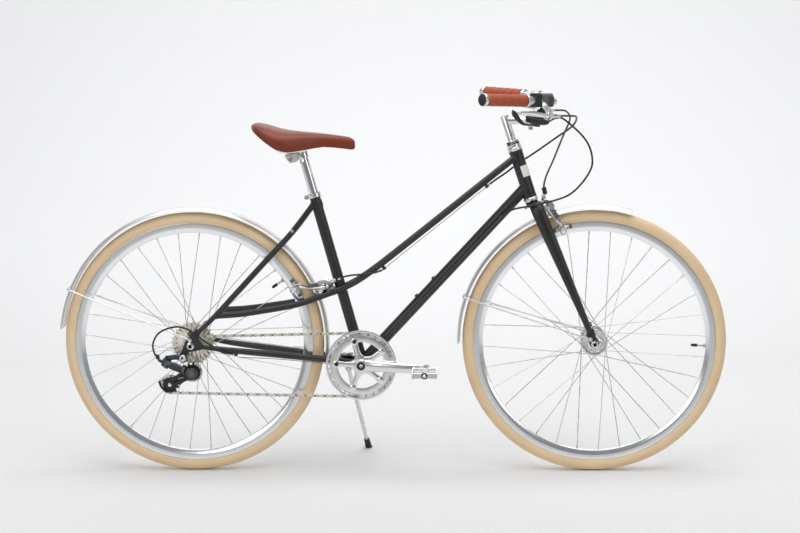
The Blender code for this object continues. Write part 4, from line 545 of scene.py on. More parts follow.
# Wheels
def tyrePart(x):
    # an oval section from bead to bead, closed by its inner faces and turned about the axle
    turn = np.radians(np.linspace(-128, 128, 33))
    section = [(wheel["tyreHalf"] * math.sin(a), wheel["tyreMiddle"] + wheel["tyreHigh"] * math.cos(a)) for a in turn]
    inside = [(9.4, 316.5), (8.0, 322), (6.0, 331), (-6.0, 331), (-8.0, 322)]
    return hollow([(-9.4, 316.5)] + section + inside, axleAt(x), sides=216)


def rimPart(x):
    # one wall's outline and its mirror image, with a raised spoke bed between them
    half, outer, inner = wheel["rimHalf"], wheel["rimOuter"], wheel["rimInner"]
    wall = np.array([(-half + 1.6, outer - 4.0), (-half + 1.6, outer), (-half, outer), (-half, outer - 2.5),
                     (-half + 0.5, 303.5), (-half + 1.6, 300), (-7.5, inner + 1.0), (-5.5, inner)])
    loop = np.vstack([wall, (wall * (-1, 1))[::-1], [(3.0, 309.0), (-3.0, 309.0)]])
    return hollow(soften(loop, 0.9, True, 2), axleAt(x), sides=192)


def spokeParts(x, flanges, flangeRadius, first):
    # each spoke's head is turned ahead of its rim hole or behind it by the swing, in pairs on either flange
    spokes, nipples = [], []
    swing = math.radians(wheel["swing"])
    for k in range(wheel["spokes"]):
        y = flanges[k % 2]
        sign = -1 if y < 0 else 1
        leads = (k // 2) % 2 == 0
        rim = first + 2 * math.pi * k / wheel["spokes"]
        hub = rim + (swing if leads else -swing)
        off = sign * (2.0 if leads else -2.0)
        hole = axleAt(x) + vec(math.cos(hub), 0, math.sin(hub)) * (flangeRadius - 4.0)
        head, start = hole + vec(0, y - off * 1.3, 0), hole + vec(0, y + off, 0)
        end = axleAt(x) + vec(math.cos(rim), 0, math.sin(rim)) * 286 + vec(0, sign * 2.0, 0)
        run = unit(end - start)
        line = [head, start - vec(0, off * 0.2, 0), start + run * 2.5, end]
        spokes += [tube(line, wheel["spokeRadius"], 8, edge=0.2),
                   ball(head - vec(0, off * 0.15, 0), 1.9, (0, 1, 0), 0.5)]
        nipples.append(tube([end - run * 5, end + run * 6.5], [1.7, 2.0], 8, edge=0.3))
    return spokes, nipples


def hubPart(x, flanges, radius, ends):
    # a barrel between two flanges, each a ring on eight webs
    right, left = flanges
    half = lambda end, y, s: [(end, 5.6), (end, 9.5), (end + 2.0 * s, 11.0), (y - 4.0 * s, 13.5), (y - 2.2 * s, 17.5),
                              (y + 2.2 * s, 18.5), (y + 8.0 * s, 14.0)]
    profile = half(ends[0], right, 1) + [((right + left) / 2, 13.0)] + half(ends[1], left, -1)[::-1]
    parts = [hollow(soften(profile, 0.7, True, 2), axleAt(x), sides=56)]
    for y in flanges:
        rim = [(y - 1.6, radius - 8.5), (y - 1.6, radius - 1), (y - 1, radius), (y + 1, radius), (y + 1.6, radius - 1),
               (y + 1.6, radius - 8.5)]
        parts.append(hollow(soften(rim, 0.4, True, 2), axleAt(x), sides=72))
        parts += [arcBand(x, wheel["axleZ"], 17.0, radius - 8.0, 45 * k - 11, 45 * k + 11, y - 1.5, y + 1.5, 5)
                  for k in range(8)]
    return parts


def makeWheel(side, x, flanges, radius, ends, firstSpoke, valve):
    piece(side + "TyreSkin", side + "_tyre", tyre=tyrePart(x))
    base, out = axleAt(x), heading(valve)
    stem = [lathe([(263, 2.6), (300, 3.0)], base, out, 16), pin(286.5, 290.8, 5.6, base, out, 6, 0.5)]
    cap = lathe([(254.5, 2.0), (256, 3.5), (270, 4.1), (271, 3.4)], base, out, 16, round=0.7)
    piece(side + "RimRing", side + "_rim", rim=rimPart(x), brass=stem, rubber=cap)
    spokes, nipples = spokeParts(x, flanges, radius, math.radians(firstSpoke))
    hub = hubPart(x, flanges, radius, ends)
    piece(side + "HubAndSpokes", side + "_hub", polished=hub, steel=spokes, silver=nipples)


def makeAxle(side, x, dropout, right, left):
    # right and left are where the cones meet the hub, dropout where the nuts' washers bear
    base, out = axleAt(x), dropout + 5.9
    rod = lathe([(-out - 12, 3.4), (-out - 11, 4.7), (out + 11, 4.7), (out + 12, 3.4)], base, sides=24)
    cones = [pin(a, b, 7.4, base, sides=24, round=0.6) for a, b in ((-dropout + 0.35, right), (left, dropout - 0.35))]
    nuts = []
    for s in (-1, 1):
        nut = [(out + 1.6, 8.2), (out + 7.4, 8.2), (out + 8.5, 7.2), (out + 8.5, 5.2), (out + 6.5, 4.9)]
        nuts += [lathe([(out, 6), (out, 9.6), (out + 1.8, 9.6), (out + 2.4, 8.4)], base, (0, s, 0), 32),
                 lathe(nut, base, (0, s, 0), 6)]
    piece(side + "AxleAndNuts", side + "_axle", blackMetal=rod, steel=cones, chrome=nuts)


print("wheels")
makeWheel("front", wheel["frontX"], (-33.0, 33.0), 35.0, (-38.0, 38.0), 2.6, -2.6)
makeWheel("rear", wheel["rearX"], (-17.0, 33.0), 30.0, (-23.3, 38.0), -3.8, 34.5)
makeAxle("front", wheel["frontX"], 50.0, -38.5, 38.5)
makeAxle("rear", wheel["rearX"], 67.5, -61.0, 38.5)


# Frame and fork
downTube = unit(steer(438) - bracket)
brakeStops = {"upper": vec(249.7, -22.0, 757.0), "lower": vec(-20.0, -24.0, 543.5)}
brakeRun = unit(brakeStops["upper"] - brakeStops["lower"])


def flared(path, radius, amount, reach=9.0, sides=28, first=True, last=True):
    # a tube whose ends swell where they are brazed on, by amount * exp(-(distance / (0.55 * reach)) ^ 2)
    path = np.asarray(path, dtype=float)
    run = lengthsAlong(path)
    extra = np.array([0.0, 0.15, 0.35, 0.6, 1.0, 1.6, 2.4]) * reach
    marks = sorted(set(np.round(np.concatenate([run, extra if first else [], run[-1] - extra if last else []]), 3)))
    marks = [min(m, run[-1]) for m in marks if 0 <= m <= run[-1] + 0.01]
    marks = np.array([m for k, m in enumerate(marks) if k == 0 or m - marks[k - 1] > 0.4])
    dense = np.stack([np.interp(marks, run, path[:, k]) for k in range(3)], 1)
    size = np.interp(marks, run, np.broadcast_to(np.asarray(radius, dtype=float), (len(path),)))
    for brazed, away in ((first, marks), (last, run[-1] - marks)):
        if brazed:
            size = size + amount * np.exp(-(away / (0.55 * reach)) ** 2)
    return tube(dense, size, sides, edge=0.3)


def dropoutShape(sign):
    # a flat plate that takes the axle; only the right one carries the hanger
    outline = [(-520, 384), (-508, 392), (-499, 384), (-510, 366), (-498, 352), (-497, 337), (-512, 333), (-530, 332),
               (-541, 322), (-541, 309), (-549, 305.5), (-558, 309), (-560, 320), (-548, 343), (-541, 360)]
    if sign > 0:
        outline = outline[:7] + [(-530, 331), (-545, 335), (-548, 350), (-541, 362)]
    return flatPlate(outline, 67.5 * sign, 73.0 * sign, 0.8, 3.0)


def badgeParts():
    # a thin curved plate on the head tube: its face, its back and the edge that joins them
    turn, rise = np.radians(np.linspace(-93, 93, 33)), np.linspace(-15, 15, 9)
    grid = lambda out, bulge, wide: [[steer(484 + h, (out + bulge * (1 - (h / 15) ** 4)) * math.cos(a),
                                            wide * math.sin(a)) for a in turn] for h in rise]
    ring = lambda g: g[0] + [row[-1] for row in g[1:-1]] + g[-1][::-1] + [row[0] for row in g[-2:0:-1]]
    face, back = grid(18.1, 0.25, 18.1), grid(17.2, 0.0, 17.2)
    return [skin(face, around=False, caps=False), skin(back, around=False, caps=False),
            skin([ring(face), ring(back)], caps=False)]


def makeFrame():
    top = seatTop + upSeat * 2
    headTube = [(414, 16.0), (414, 18.6), (417, 18.6), (419, 17.5), (536, 17.5), (538, 18.6), (541, 18.6), (541, 16.0)]
    parts = [lathe(headTube, steerFoot, upSteer, 48, round=0.6), flared([bracket, steer(442, -2)], 15.0, 2.2, sides=36),
             flared([bracket, seatTop + upSeat * 10], 14.3, 2.0, sides=36, last=False),
             lathe([(-34, 16.5), (-34, 19.4), (-33, 20.2), (33, 20.2), (34, 19.4), (34, 16.5)], bracket, sides=44)]
    sideLine = [(327, 14, 834), (262, 18.5, 783), (140, 20.5, 686.5), (17.6, 20.5, 590.3), (-45, 20.5, 542),
                (-96, 20.6, 507.5), (-135, 21.2, 489), (-185, 29.5, 471), (-252, 38, 450), (-323, 44.5, 437.5),
                (-400, 51, 427), (-463, 57, 423.5)]
    seatLine = [top + vec(-3, 10, -22), (-262, 29.5, 639), (-335, 38, 561), (-455, 57, 433), (-511, 69.2, 379)]
    chainLine = [(-92, 19, 292), (-135, 29, 298), (-180, 33.5, 303.5), (-300, 42, 317), (-440, 58, 333.5),
                 (-504, 69.4, 343.5)]
    for line, steps, radius, swell, last in (
            (sideLine, 70, 8.0, 1.3, True),
            (seatLine, 50, graded(50, [0, 0.7, 0.9, 1], [7.6, 7.6, 6.6, 5.6]), 1.2, False),
            (chainLine, 50, graded(50, [0, 0.7, 0.88, 1], [8.5, 8.5, 7.4, 5.8]), 1.2, False)):
        parts += bothSides(flared(smoothPath(line, steps), radius, swell, 6.0, 22, last=last))
    parts += [dropoutShape(-1), dropoutShape(1)]
    for x, y, z, r in ((-278.4, 31, 621.6, 5.0), (-158.2, 26, 481.6, 7.0), (-146, 29, 300, 7.0)):
        parts.append(flared([(x, -y, z), (x, y, z)], r, 1.0, 4.0, 20))
    # the cap over each seat stay's top, where it meets the seat tube
    parts.append(lathe([(-7, 15.2), (-6, 15.9), (10, 15.9), (11, 15.2)], top - upSeat * 24, upSeat, 36))
    outside = unit(vec(-downTube[2], 0, downTube[0]))
    for distance in (228.0, 292.0):
        foot = bracket + downTube * distance
        parts += [lathe([(13, 7.4), (15.6, 6.4), (17.0, 5.9), (17.0, 3.0)], foot, outside, 24, round=0.5),
                  socketHead(foot + outside * 16.6, outside, 4.8, 4.0)]
    # cable stops: two for the rear brake, two for the gear
    away, stayRun = vec(-0.617, 0, 0.787), (-0.99, -0.1, 0.12)
    for stop in brakeStops.values():
        parts += [hollow([(-4.5, 1.5), (-4.5, 3.6), (4.5, 4.0), (4.5, 1.5)], stop, brakeRun, 20),
                  block(stop + away * 6.5, (8, 4, 10), brakeRun, away)]
    for stop, run in ((bracket + downTube * 533 + vec(0, -18, 0), downTube), ((-412, -56.5, 320.5), stayRun)):
        parts.append(hollow([(-5, 1.5), (-5, 4.0), (5, 4.4), (5, 1.5)], stop, run, 20))
    parts += [block((-412, -55.5, 325), (9, 4, 8), stayRun),
              hollow([(67.5, 2.6), (67.5, 5.6), (73, 5.6), (73, 2.6)], (-531, 0, 378), (0, -1, 0), 24, 0.5)]
    bolts, shells = [], []
    for s in (-1, 1):
        parts.append(lathe([(-2, 5.0), (4.5, 4.6)], (-260, s * 35, 645), (0, s, 0), 20, round=0.4))
        bolts.append(socketHead((-260, s * 39.3, 645), (0, s, 0), 4.2, 4.0))
        shells.append(hollow([(34.2, 9.0), (34.2, 18.8), (36.5, 18.8), (37.5, 17.5), (37.5, 9.0)], bracket, (0, s, 0)))
    piece("frameTubes", "frame", paint=parts, chrome=bolts, plate=badgeParts(), blackMetal=shells)


def makeFork():
    line = [steer(390, 2, 8), steer(388, 5, 25), steer(376, 8, 38), steer(346, 12, 41), steer(190, 27, 46.5),
            steer(30, 42.0, 52.5)]
    wide = graded(60, [0, 0.12, 0.3, 1], [13.0, 17.5, 16.0, 7.0])
    thin = graded(60, [0, 0.2, 0.35, 1], [10.0, 10.5, 10.0, 6.0])
    crown = [(388, 13.0), (389.5, 15.4), (399, 16.4), (402.4, 16.4), (402.4, 12.6), (565, 12.6)]
    tip = [axleAt(wheel["frontX"]) + outSteer * out + upSteer * up for out, up in
           ((-9, 42), (9, 42), (8, 14), (12, 3), (9, -9), (-2, -12), (-11, -6), (-12, 6), (-13, 20))]
    parts = bothSides(bent(line, 60, thin, 28, flat=wide, side=outSteer, ends="round"))
    parts.append(lathe(crown, steerFoot, upSteer, 40))
    parts += bothSides(flatPlate([(p[0], p[2]) for p in tip], 50.0, 55.5, 0.8, 4.0))
    parts.append(tube([steer(390, -6), steer(390, 17.5)], 9.0, 24))
    piece("forkBlades", "fork", paint=parts)


def makeHeadset():
    # every ring is turned about the steering axis, its heights counted from start
    ring = lambda start, profile, soft=0.6, sides=48: hollow([(start + a, r) for a, r in profile], steerFoot, upSteer,
                                                             sides, soft)
    low, high = steering["tubeBottom"], steering["tubeTop"]
    cup = [(-0.4, 17.6), (-0.4, 13.0), (-10.6, 13.0), (-11, 19.0), (-8.5, 19.9), (-5, 20.2), (-2.5, 18.8)]
    piece("lowerCup", "headset_lower_cup", polished=ring(low, cup))
    cup = [(0.4, 18.0), (0.4, 13.0), (10, 13.0), (10.3, 18.0), (8, 19.6), (5, 20.0), (2, 18.6)]
    piece("upperCup", "headset_upper_cup", polished=ring(high, cup))
    race = ring(high + 11, [(0, 17.6), (0, 13.0), (6.8, 13.0), (6.8, 18.4), (1.0, 18.6)])
    spacer = ring(high + 11, [(7.1, 13.0), (7.1, 16.4), (9.3, 16.4), (9.3, 13.0)], 0.0, 40)
    nut = ring(high + 11, [(9.6, 17.2), (9.6, 13.0), (17, 13.0), (17, 15.4), (15.6, 17.2)], 0.5, 8)
    piece("locknutStack", "headset_locknut", polished=race, blackMetal=spacer, chrome=nut)


print("frame and fork")
makeFrame()
makeFork()
makeHeadset()


# Mudguards and stays
guard = {"crown": 361.0, "half": 22.0, "depth": 8.0, "front": (73.5, 181.0), "rear": (-8.0, 174.4)}


def guardPart(x, span):
    # an arched band with rolled edges, its radius falling by depth * (y / half) ^ 3; its ends are rounded in plan
    t = np.linspace(-1, 1, 21)
    rings = []
    for a in np.linspace(span[0], span[1], int((span[1] - span[0]) * 1.6)):
        away = min(a - span[0], span[1] - a) * math.radians(guard["crown"])
        narrow = 1.0 if away > 14 else 0.62 + 0.38 * math.sqrt(max(0.0, 1 - (1 - away / 14) ** 2))
        y = guard["half"] * t * narrow
        r = guard["crown"] - guard["depth"] * np.abs(y / guard["half"]) ** 3.0
        outer, inner = np.stack([r, y], 1), np.stack([r - 1.0, y * 0.975], 1)[::-1]
        bead = [(outer[-1][0] - 0.3, outer[-1][1] + 0.2), (outer[-1][0] - 1.5, outer[-1][1] - 0.1)]
        other = [(inner[-1][0] - 0.6, -bead[1][1]), (outer[0][0] - 0.3, -bead[0][1])]
        rings.append([around(x, high, a, wide) for high, wide in np.vstack([outer, bead, inner, other])])
    return skin(rings)


def makeStay(side, x, degrees, foot):
    # a wire over the guard's crown, an eye and a screw at each end and a riveted clip each side of the crown
    line = [foot, around(x, 352.0, degrees, 26.5), around(x, 362.5, degrees, 22.5), around(x, 365.0, degrees, 10.0)]
    wire = tube(soften(line + [p * vec(1, -1, 1) for p in line[::-1]], 9.0, steps=4), 2.0, 14)
    fittings, screws = [wire], []
    for s in (1, -1):
        end = foot * vec(1, s, 1)
        fittings += [hollow([(-2.6, 2.5), (-2.6, 5.4), (2.6, 5.4), (2.6, 2.5)], end, sides=24, round=0.6),
                     block(around(x, 363.2, degrees, s * 15.5), (9, 7, 2.6), heading(degrees + 90)),
                     ball(around(x, 365.0, degrees, s * 15.5), 2.2, heading(degrees), 0.5)]
        screws += [socketHead(end + vec(0, s * 2.6, 0), (0, s, 0), 4.0, 3.2), pin(-4, 3, 2.4, end, (0, s, 0), 16)]
    piece(side + "Stay", side + "_mudguard_stay", silver=fittings, chrome=screws)


def makeGuards():
    front, rear = wheel["frontX"], wheel["rearX"]
    tab = tube([around(front, 360, 114.5), around(front, 382.2, 114.3)], 5.0, 24, flat=1.6, side=(1, 0, 0.4),
               ends="round")
    screw = lathe([(0, 3.4), (1.6, 3.4), (2.3, 2.4)], around(front, 375, 114.4) - outSteer * 2.6, -outSteer, 20)
    piece("frontGuard", "front_mudguard", 40, guard=[guardPart(front, guard["front"]), tab], chrome=screw)
    lugs = [tube([around(rear, 359.5, degrees), around(rear, top, degrees)], 6.0, 20)
            for degrees, top in ((47.7, 366.8), (20.6, 371.0))]
    piece("rearGuard", "rear_mudguard", 40, guard=[guardPart(rear, guard["rear"])] + lugs)
    makeStay("front", front, 160.6, vec(front - 11.5, 58.7, 359.2))
    makeStay("rear", rear, 156.5, vec(rear - 1, 76.2, 362.0))


# Seat
def saddleSkin():
    # stations from tail to nose: x, half width, crown height, skirt height, recess height
    rows = np.array([(-363, 30, 921, 913, 916), (-358, 52, 924.5, 907.5, 914), (-345, 73, 924.5, 897, 909),
                     (-322, 88, 919, 879, 901), (-295, 91, 911, 860.5, 895), (-265, 82, 905, 852.5, 890),
                     (-235, 62, 902, 855.5, 887), (-205, 42, 899.5, 860, 884), (-175, 30, 896.5, 863.5, 882),
                     (-145, 24, 892.5, 861, 879), (-115, 20.5, 888, 857, 876), (-101, 16.5, 882.5, 855, 871),
                     (-95, 9.5, 875, 858, 866)], dtype=float)
    dense = smoothPath(rows[:, :3], 60)
    lows = np.stack([np.interp(dense[:, 0], rows[:, 0], rows[:, k]) for k in (3, 4)], 1)
    turn, drop = np.linspace(0, 1, 15) * math.pi / 2, np.linspace(0, 1, 5)[1:]
    rings = []
    for (x, half, crown), (skirt, recess) in zip(dense, lows):
        # the top falls from the crown to the skirt by a power of 1 - cos; the underside rises to the recess
        y = half * np.sin(turn) ** 0.92
        z = crown - (crown - skirt - 5) * (1 - np.cos(turn)) ** 1.55 * 0.82
        side = np.stack([half * (1 - 0.03 * drop), z[-1] + (skirt - z[-1]) * drop], 1)
        under = [(half * 0.97 - 1.6, skirt - 0.4), (half * 0.97 - 4.5, skirt + 1.5),
                 (max(half - 12, half * 0.5), skirt + 0.6 * (recess - skirt)), (half * 0.3, recess)]
        right = np.vstack([np.stack([y, z], 1), side, under])
        rings.append([(x, a, b) for a, b in np.vstack([right, right[::-1][:-1] * (-1, 1)])])
    return skin(rings)


def makeSeat():
    post = [(-210, 11.5), (-209, 12.7), (94, 12.7), (99, 12.5), (104, 11.0), (119, 11.0), (120, 10)]
    piece("seatPost", "seat_post", chrome=lathe(post, seatTop, upSeat, 56))
    back = unit(vec(-upSeat[2], 0, upSeat[0]))
    band = hollow([(-12, 14.7), (-0.5, 14.7), (-0.5, 17.8), (-12, 17.8)], seatTop + upSeat * 10, upSeat, 48, 0.8)
    spot = seatTop + upSeat * 4 + back * 21
    hole = spot + back * 1.5
    ears = [block(spot + vec(0, s * 4.6, 0), (10, 4.6, 11), back, upSeat, 1.2) for s in (1, -1)]
    bolt = [pin(-9, 9, 2.6, hole, sides=16), socketHead(hole + vec(0, -6.8, 0), (0, -1, 0), 4.6, 4.2),
            hexHead(hole + vec(0, 6.8, 0), (0, 1, 0), 4.8, 4.0)]
    piece("seatCollar", "seat_collar", polished=[band] + ears, chrome=bolt)
    # the clamp is a rounded block: each ring is a superellipse of power 0.55
    top = seatTop + upSeat * 118
    ahead, up = unit(vec(0.98, 0, 0.2)), unit(vec(-0.2, 0, 0.98))
    squared = lambda wave: np.sign(wave) * np.abs(wave) ** 0.55
    c, s = squared(np.cos(turnOf(40))), squared(np.sin(turnOf(40)))
    rings = [top + vec(-27, 0, -2.5) + np.outer(c * long, ahead) + np.outer(s * wide, (0, 1, 0)) + up * height
             for height, wide, long in ((-21, 8, 9), (-20, 10, 11), (-12, 17, 15), (-4, 22.5, 18), (1.5, 23.5, 18.5),
                                        (2.5, 22.5, 17.5))]
    sleeve = hollow([(104.8, 11.4), (104.8, 15.0), (121, 15.0), (121, 11.4)], seatTop, upSeat, 40, 1.0)
    bolt = [pin(-26, 26, 4.0, top + vec(-29, 0, -14), sides=24)]
    bolt += [hexHead(top + vec(-29, s * 22, -14), (0, s, 0), 6.4, 4.5) for s in (1, -1)]
    piece("saddleClamp", "saddle_clamp", cream=skin(rings), chrome=[sleeve] + bolt)
    line = [(-146, 9, 877), (-166, 15, 867), (-205, 21.5, 861.5), (-262, 21.5, 850), (-300, 25, 858), (-322, 28, 896)]
    rails = bothSides(bent(line, 60, 3.5, 18))
    rails += [tube([(x, -y, z), (x, y, z)], 3.6, 18, ends="round") for x, y, z in ((-146, 12, 875), (-322, 31, 896.6))]
    piece("saddleRails", "saddle_rails", chrome=rails)
    piece("saddleCover", "saddle", 60, leather=saddleSkin())


# Drive
outward = (0, -1, 0)


def pitchRadius(teeth):
    # pitch / (2 sin(pi / teeth))
    return drive["pitch"] / (2 * math.sin(math.pi / teeth))


def jockeys():
    # the middles of the upper and the lower pulley
    (x, z), reach, angle = drive["upper"], drive["cage"], drive["cageAngle"]
    return vec(x, drive["cogY"], z), vec(x + reach * math.cos(angle), drive["cogY"], z + reach * math.sin(angle))


def chainPins():
    # the belt over chainring and small cog, back under the upper jockey and over the lower, cut into even links;
    # each straight run's slope is atan2(dz, dx) - asin(difference of the radii / distance)
    upper, lower = jockeys()
    guide = pitchRadius(drive["jockey"])
    stops = [(bracket[0], bracket[2], pitchRadius(drive["ring"]), drive["ringY"]),
             (wheel["rearX"], wheel["axleZ"], pitchRadius(drive["cogs"][0]), drive["cogY"]),
             (upper[0], upper[2], -guide, drive["cogY"]), (lower[0], lower[2], guide, drive["cogY"])]
    tilts = [math.atan2(z1 - z0, x1 - x0) - math.asin((r1 - r0) / math.hypot(x1 - x0, z1 - z0))
             for (x0, z0, r0, _), (x1, z1, r1, _) in zip(stops, stops[1:] + stops[:1])]
    track = []
    for k, (x, z, radius, y) in enumerate(stops):
        turn = tilts[k] - tilts[k - 1]
        turn = turn % (2 * math.pi) if radius > 0 else -((-turn) % (2 * math.pi))
        tilt = tilts[k - 1] + turn * np.linspace(0, 1, 200)
        track.append(np.stack([x + radius * np.sin(tilt), np.full(200, y), z - radius * np.cos(tilt)], 1))
    track = np.vstack(track + [track[0][:1]])
    run = lengthsAlong(track[:, [0, 2]])
    want = np.arange(drive["links"]) * run[-1] / drive["links"]
    return np.stack([np.interp(want, run, track[:, k]) for k in range(3)], 1)


chainSpots = chainPins()


def rootPhase(x, z, teeth):
    # the mean angle, within one tooth, of the chain's pins that lie on this pitch circle
    turns = [math.atan2(p[2] - z, p[0] - x) * teeth for p in chainSpots
             if abs(math.hypot(p[0] - x, p[2] - z) - pitchRadius(teeth)) < 0.3]
    spin = sum(complex(math.cos(a), math.sin(a)) for a in turns)
    return math.atan2(spin.imag, spin.real) / teeth % (2 * math.pi / teeth)


def toothed(teeth, x, z, y, phase, bore):
    # a sprocket: each tooth rises from a round root that takes the chain's roller
    half = 0.9
    share = np.array([0, 0.11, 0.2, 0.29, 0.38, 0.45, 0.55, 0.62, 0.71, 0.8, 0.89])
    rise = np.tile([-3.9, -3.5, -2.1, 0.2, 2.3, 3.4, 3.4, 2.3, 0.2, -2.1, -3.5], teeth)
    turn = phase + (np.arange(teeth)[:, None] + share).ravel() * 2 * math.pi / teeth
    outer = pitchRadius(teeth) + rise
    inner, slim = np.full_like(outer, bore), outer - 0.9 - np.clip((rise + 4) / 7.5, 0, 1)
    rings = [np.stack([x + radius * np.cos(turn), np.full_like(turn, y + height), z + radius * np.sin(turn)], 1)
             for radius, height in ((inner, -half), (slim, -half), (outer, -half * 0.4), (outer, half * 0.4),
                                    (slim, half), (inner, half))]
    level = rise + 4.0
    level = np.stack([level * 0, level, level, level, level, level * 0], 1)
    return skin(np.transpose(np.array(rings), (1, 0, 2)), along=True, flow=np.stack([level, level], -1))


def linkPlate(y0, y1):
    # two round ends one pitch apart with a waist between them
    half, end, waist = drive["pitch"] / 2, 4.3, 2.1
    right = [(half + end * math.cos(t), end * math.sin(t)) for t in np.radians(np.linspace(-110, 110, 9))]
    outline = right + [(0, waist)] + [(-x, z) for x, z in right[::-1]] + [(0, -waist)]
    return flatPlate(outline, y0, y1, 0.25, 0.0)


def makeChain():
    # outer and inner links in turn, each laid between two pins; the last one is cranked, wide and narrow in one
    half = drive["pitch"] / 2
    ends = [lathe([(-3.35, 1.2), (-3.1, 1.75), (3.1, 1.75), (3.35, 1.2)], (x, 0, 0), sides=10) for x in (-half, half)]
    outer = joined([linkPlate(2.2, 3.0), linkPlate(-3.0, -2.2)] + ends)
    inner = joined([linkPlate(1.25, 2.1), linkPlate(-2.1, -1.25)])
    rollers = joined([pin(-1.2, 1.2, 3.9, (x, 0, 0), sides=14) for x in (-half, half)])
    cranked = joined([tube([(-half - 3.9, s * 1.7, 0), (-1.5, s * 1.7, 0), (1.5, s * 2.6, 0), (half + 3.9, s * 2.6, 0)],
                           3.4, 8, flat=0.42, side=(0, 1, 0)) for s in (1, -1)])
    laid = {"nickel": [], "oiled": [], "steel": []}
    for k, spot in enumerate(chainSpots):
        after = chainSpots[(k + 1) % len(chainSpots)]
        ahead = unit(after - spot)
        up = unit(vec(-ahead[2], 0, ahead[0]))
        turn = np.stack([ahead, np.cross(up, ahead), up])
        kinds = {"oiled": inner, "steel": rollers} if k % 2 else {"nickel": outer}
        if k == len(chainSpots) - 1:
            kinds = {"nickel": cranked}
        for look, (points, faces, flow) in kinds.items():
            laid[look].append((points @ turn + (spot + after) / 2, faces, flow))
    piece("driveChain", "chain", 30, **laid)


def crankPoint(angle, radius, y):
    # a place round the bottom bracket
    return bracket + vec(radius * math.cos(angle), y, radius * math.sin(angle))


boltTurns = [drive["crankAngle"] + math.radians(36 + 72 * k) for k in range(5)]


def makePedal(name, side, centre):
    # a barrel between two toothed cage plates; the teeth rise and fall every 3 mm
    barrel = [(-40, 5.4), (-40, 8.6), (-38, 9.5), (-16, 9.5), (-12, 8.2), (12, 8.2), (16, 9.5), (38, 9.5), (40, 8.6),
              (40, 5.4)]
    cap = lathe([(39.0, 8.4), (42.0, 8.4), (43.2, 6.0), (43.4, 1.0)], centre, (0, side, 0), 32)
    teeth = [(a, 10.0 if a % 2 else 7.0) for a in range(-42, 43, 3)]
    outline = [(-43, -7)] + [(a, -b) for a, b in teeth] + [(43, -7), (43, 7)] + teeth[::-1] + [(-43, 7)]
    parts = [hollow(barrel, centre, (0, side, 0))]
    for s in (-1, 1):
        parts += [slab(outline, centre + vec(s * 31, 0, 0), (0, 1, 0), (0, 0, 1), 2.4, 0.3),
                  block(centre + vec(0, s * 39, 0), (61, 2.8, 14)),
                  pin(-30, 30, 2.2, centre + vec(0, s * 22, 0), (1, 0, 0), 12)]
    piece(name + "PedalCage", "pedal_" + name, silver=parts, black=cap)


def makeCrank(name, side, angle):
    axis, stops = (0, side, 0), [0, 0.15, 0.36, 0.65, 1]
    line = [crankPoint(angle, r, side * y) for r, y in ((2, 58), (30, 61), (60, 66), (110, 71), (drive["crank"], 74))]
    end = line[-1]
    ring = [(64, 4.6), (64, 11.2), (68.4, 11.2), (69.0, 8.5), (67.4, 4.6)]
    solid = [bent(line, 40, graded(40, stops, [16.5, 15.4, 13.6, 12.6, 12.8]), 36, side=(0, 1, 0), ends="round",
                  flat=graded(40, stops, [8.6, 8.2, 7.4, 6.9, 6.6])),
             lathe([(-7, 6), (-7, 14.2), (6.8, 14.2), (6.8, 6)], end, axis, 44, round=1.8),
             hollow([(43, 8.6), (43, 15.0), (50, 17.6), (60, 17.8), (67.5, 15.6), (67.5, 8.6)], bracket, axis, 56, 1.6)]
    steel = [lathe([(5, 7.2), (9, 7.2), (9, 4.7), (99, 4.7), (100, 3.6)], end, axis, 24),
             pin(9, 12.5, 8.4, end, axis, 6),
             lathe([(62, 4.5), (67.8, 4.5), (68.3, 3.8), (67.4, 3.0), (67.2, 0.5)], bracket, axis, 40),
             lathe([(-7.2, 6.4), (-7.6, 6.0), (-7.6, 0.6)], end, axis, 24)]
    if side < 0:
        solid += [tube([crankPoint(turn, r, -51) for r in (8, 20, 30, 42, 56, 66, 73.5)],
                       [23, 13.5, 8.0, 6.4, 7.4, 10.4, 8.8], 32, flat=[4.6, 4.2, 3.8, 3.3, 3.0, 2.8, 2.4],
                       side=(0, 1, 0), ends="round") for turn in boltTurns]
    dark = hollow(ring, bracket, axis, 44, 0.5)
    piece(name + "CrankArm", "crank_" + name, 40, polished=solid, chrome=steel, black=dark)
    makePedal(name, side, crankPoint(angle, drive["crank"], side * 129))


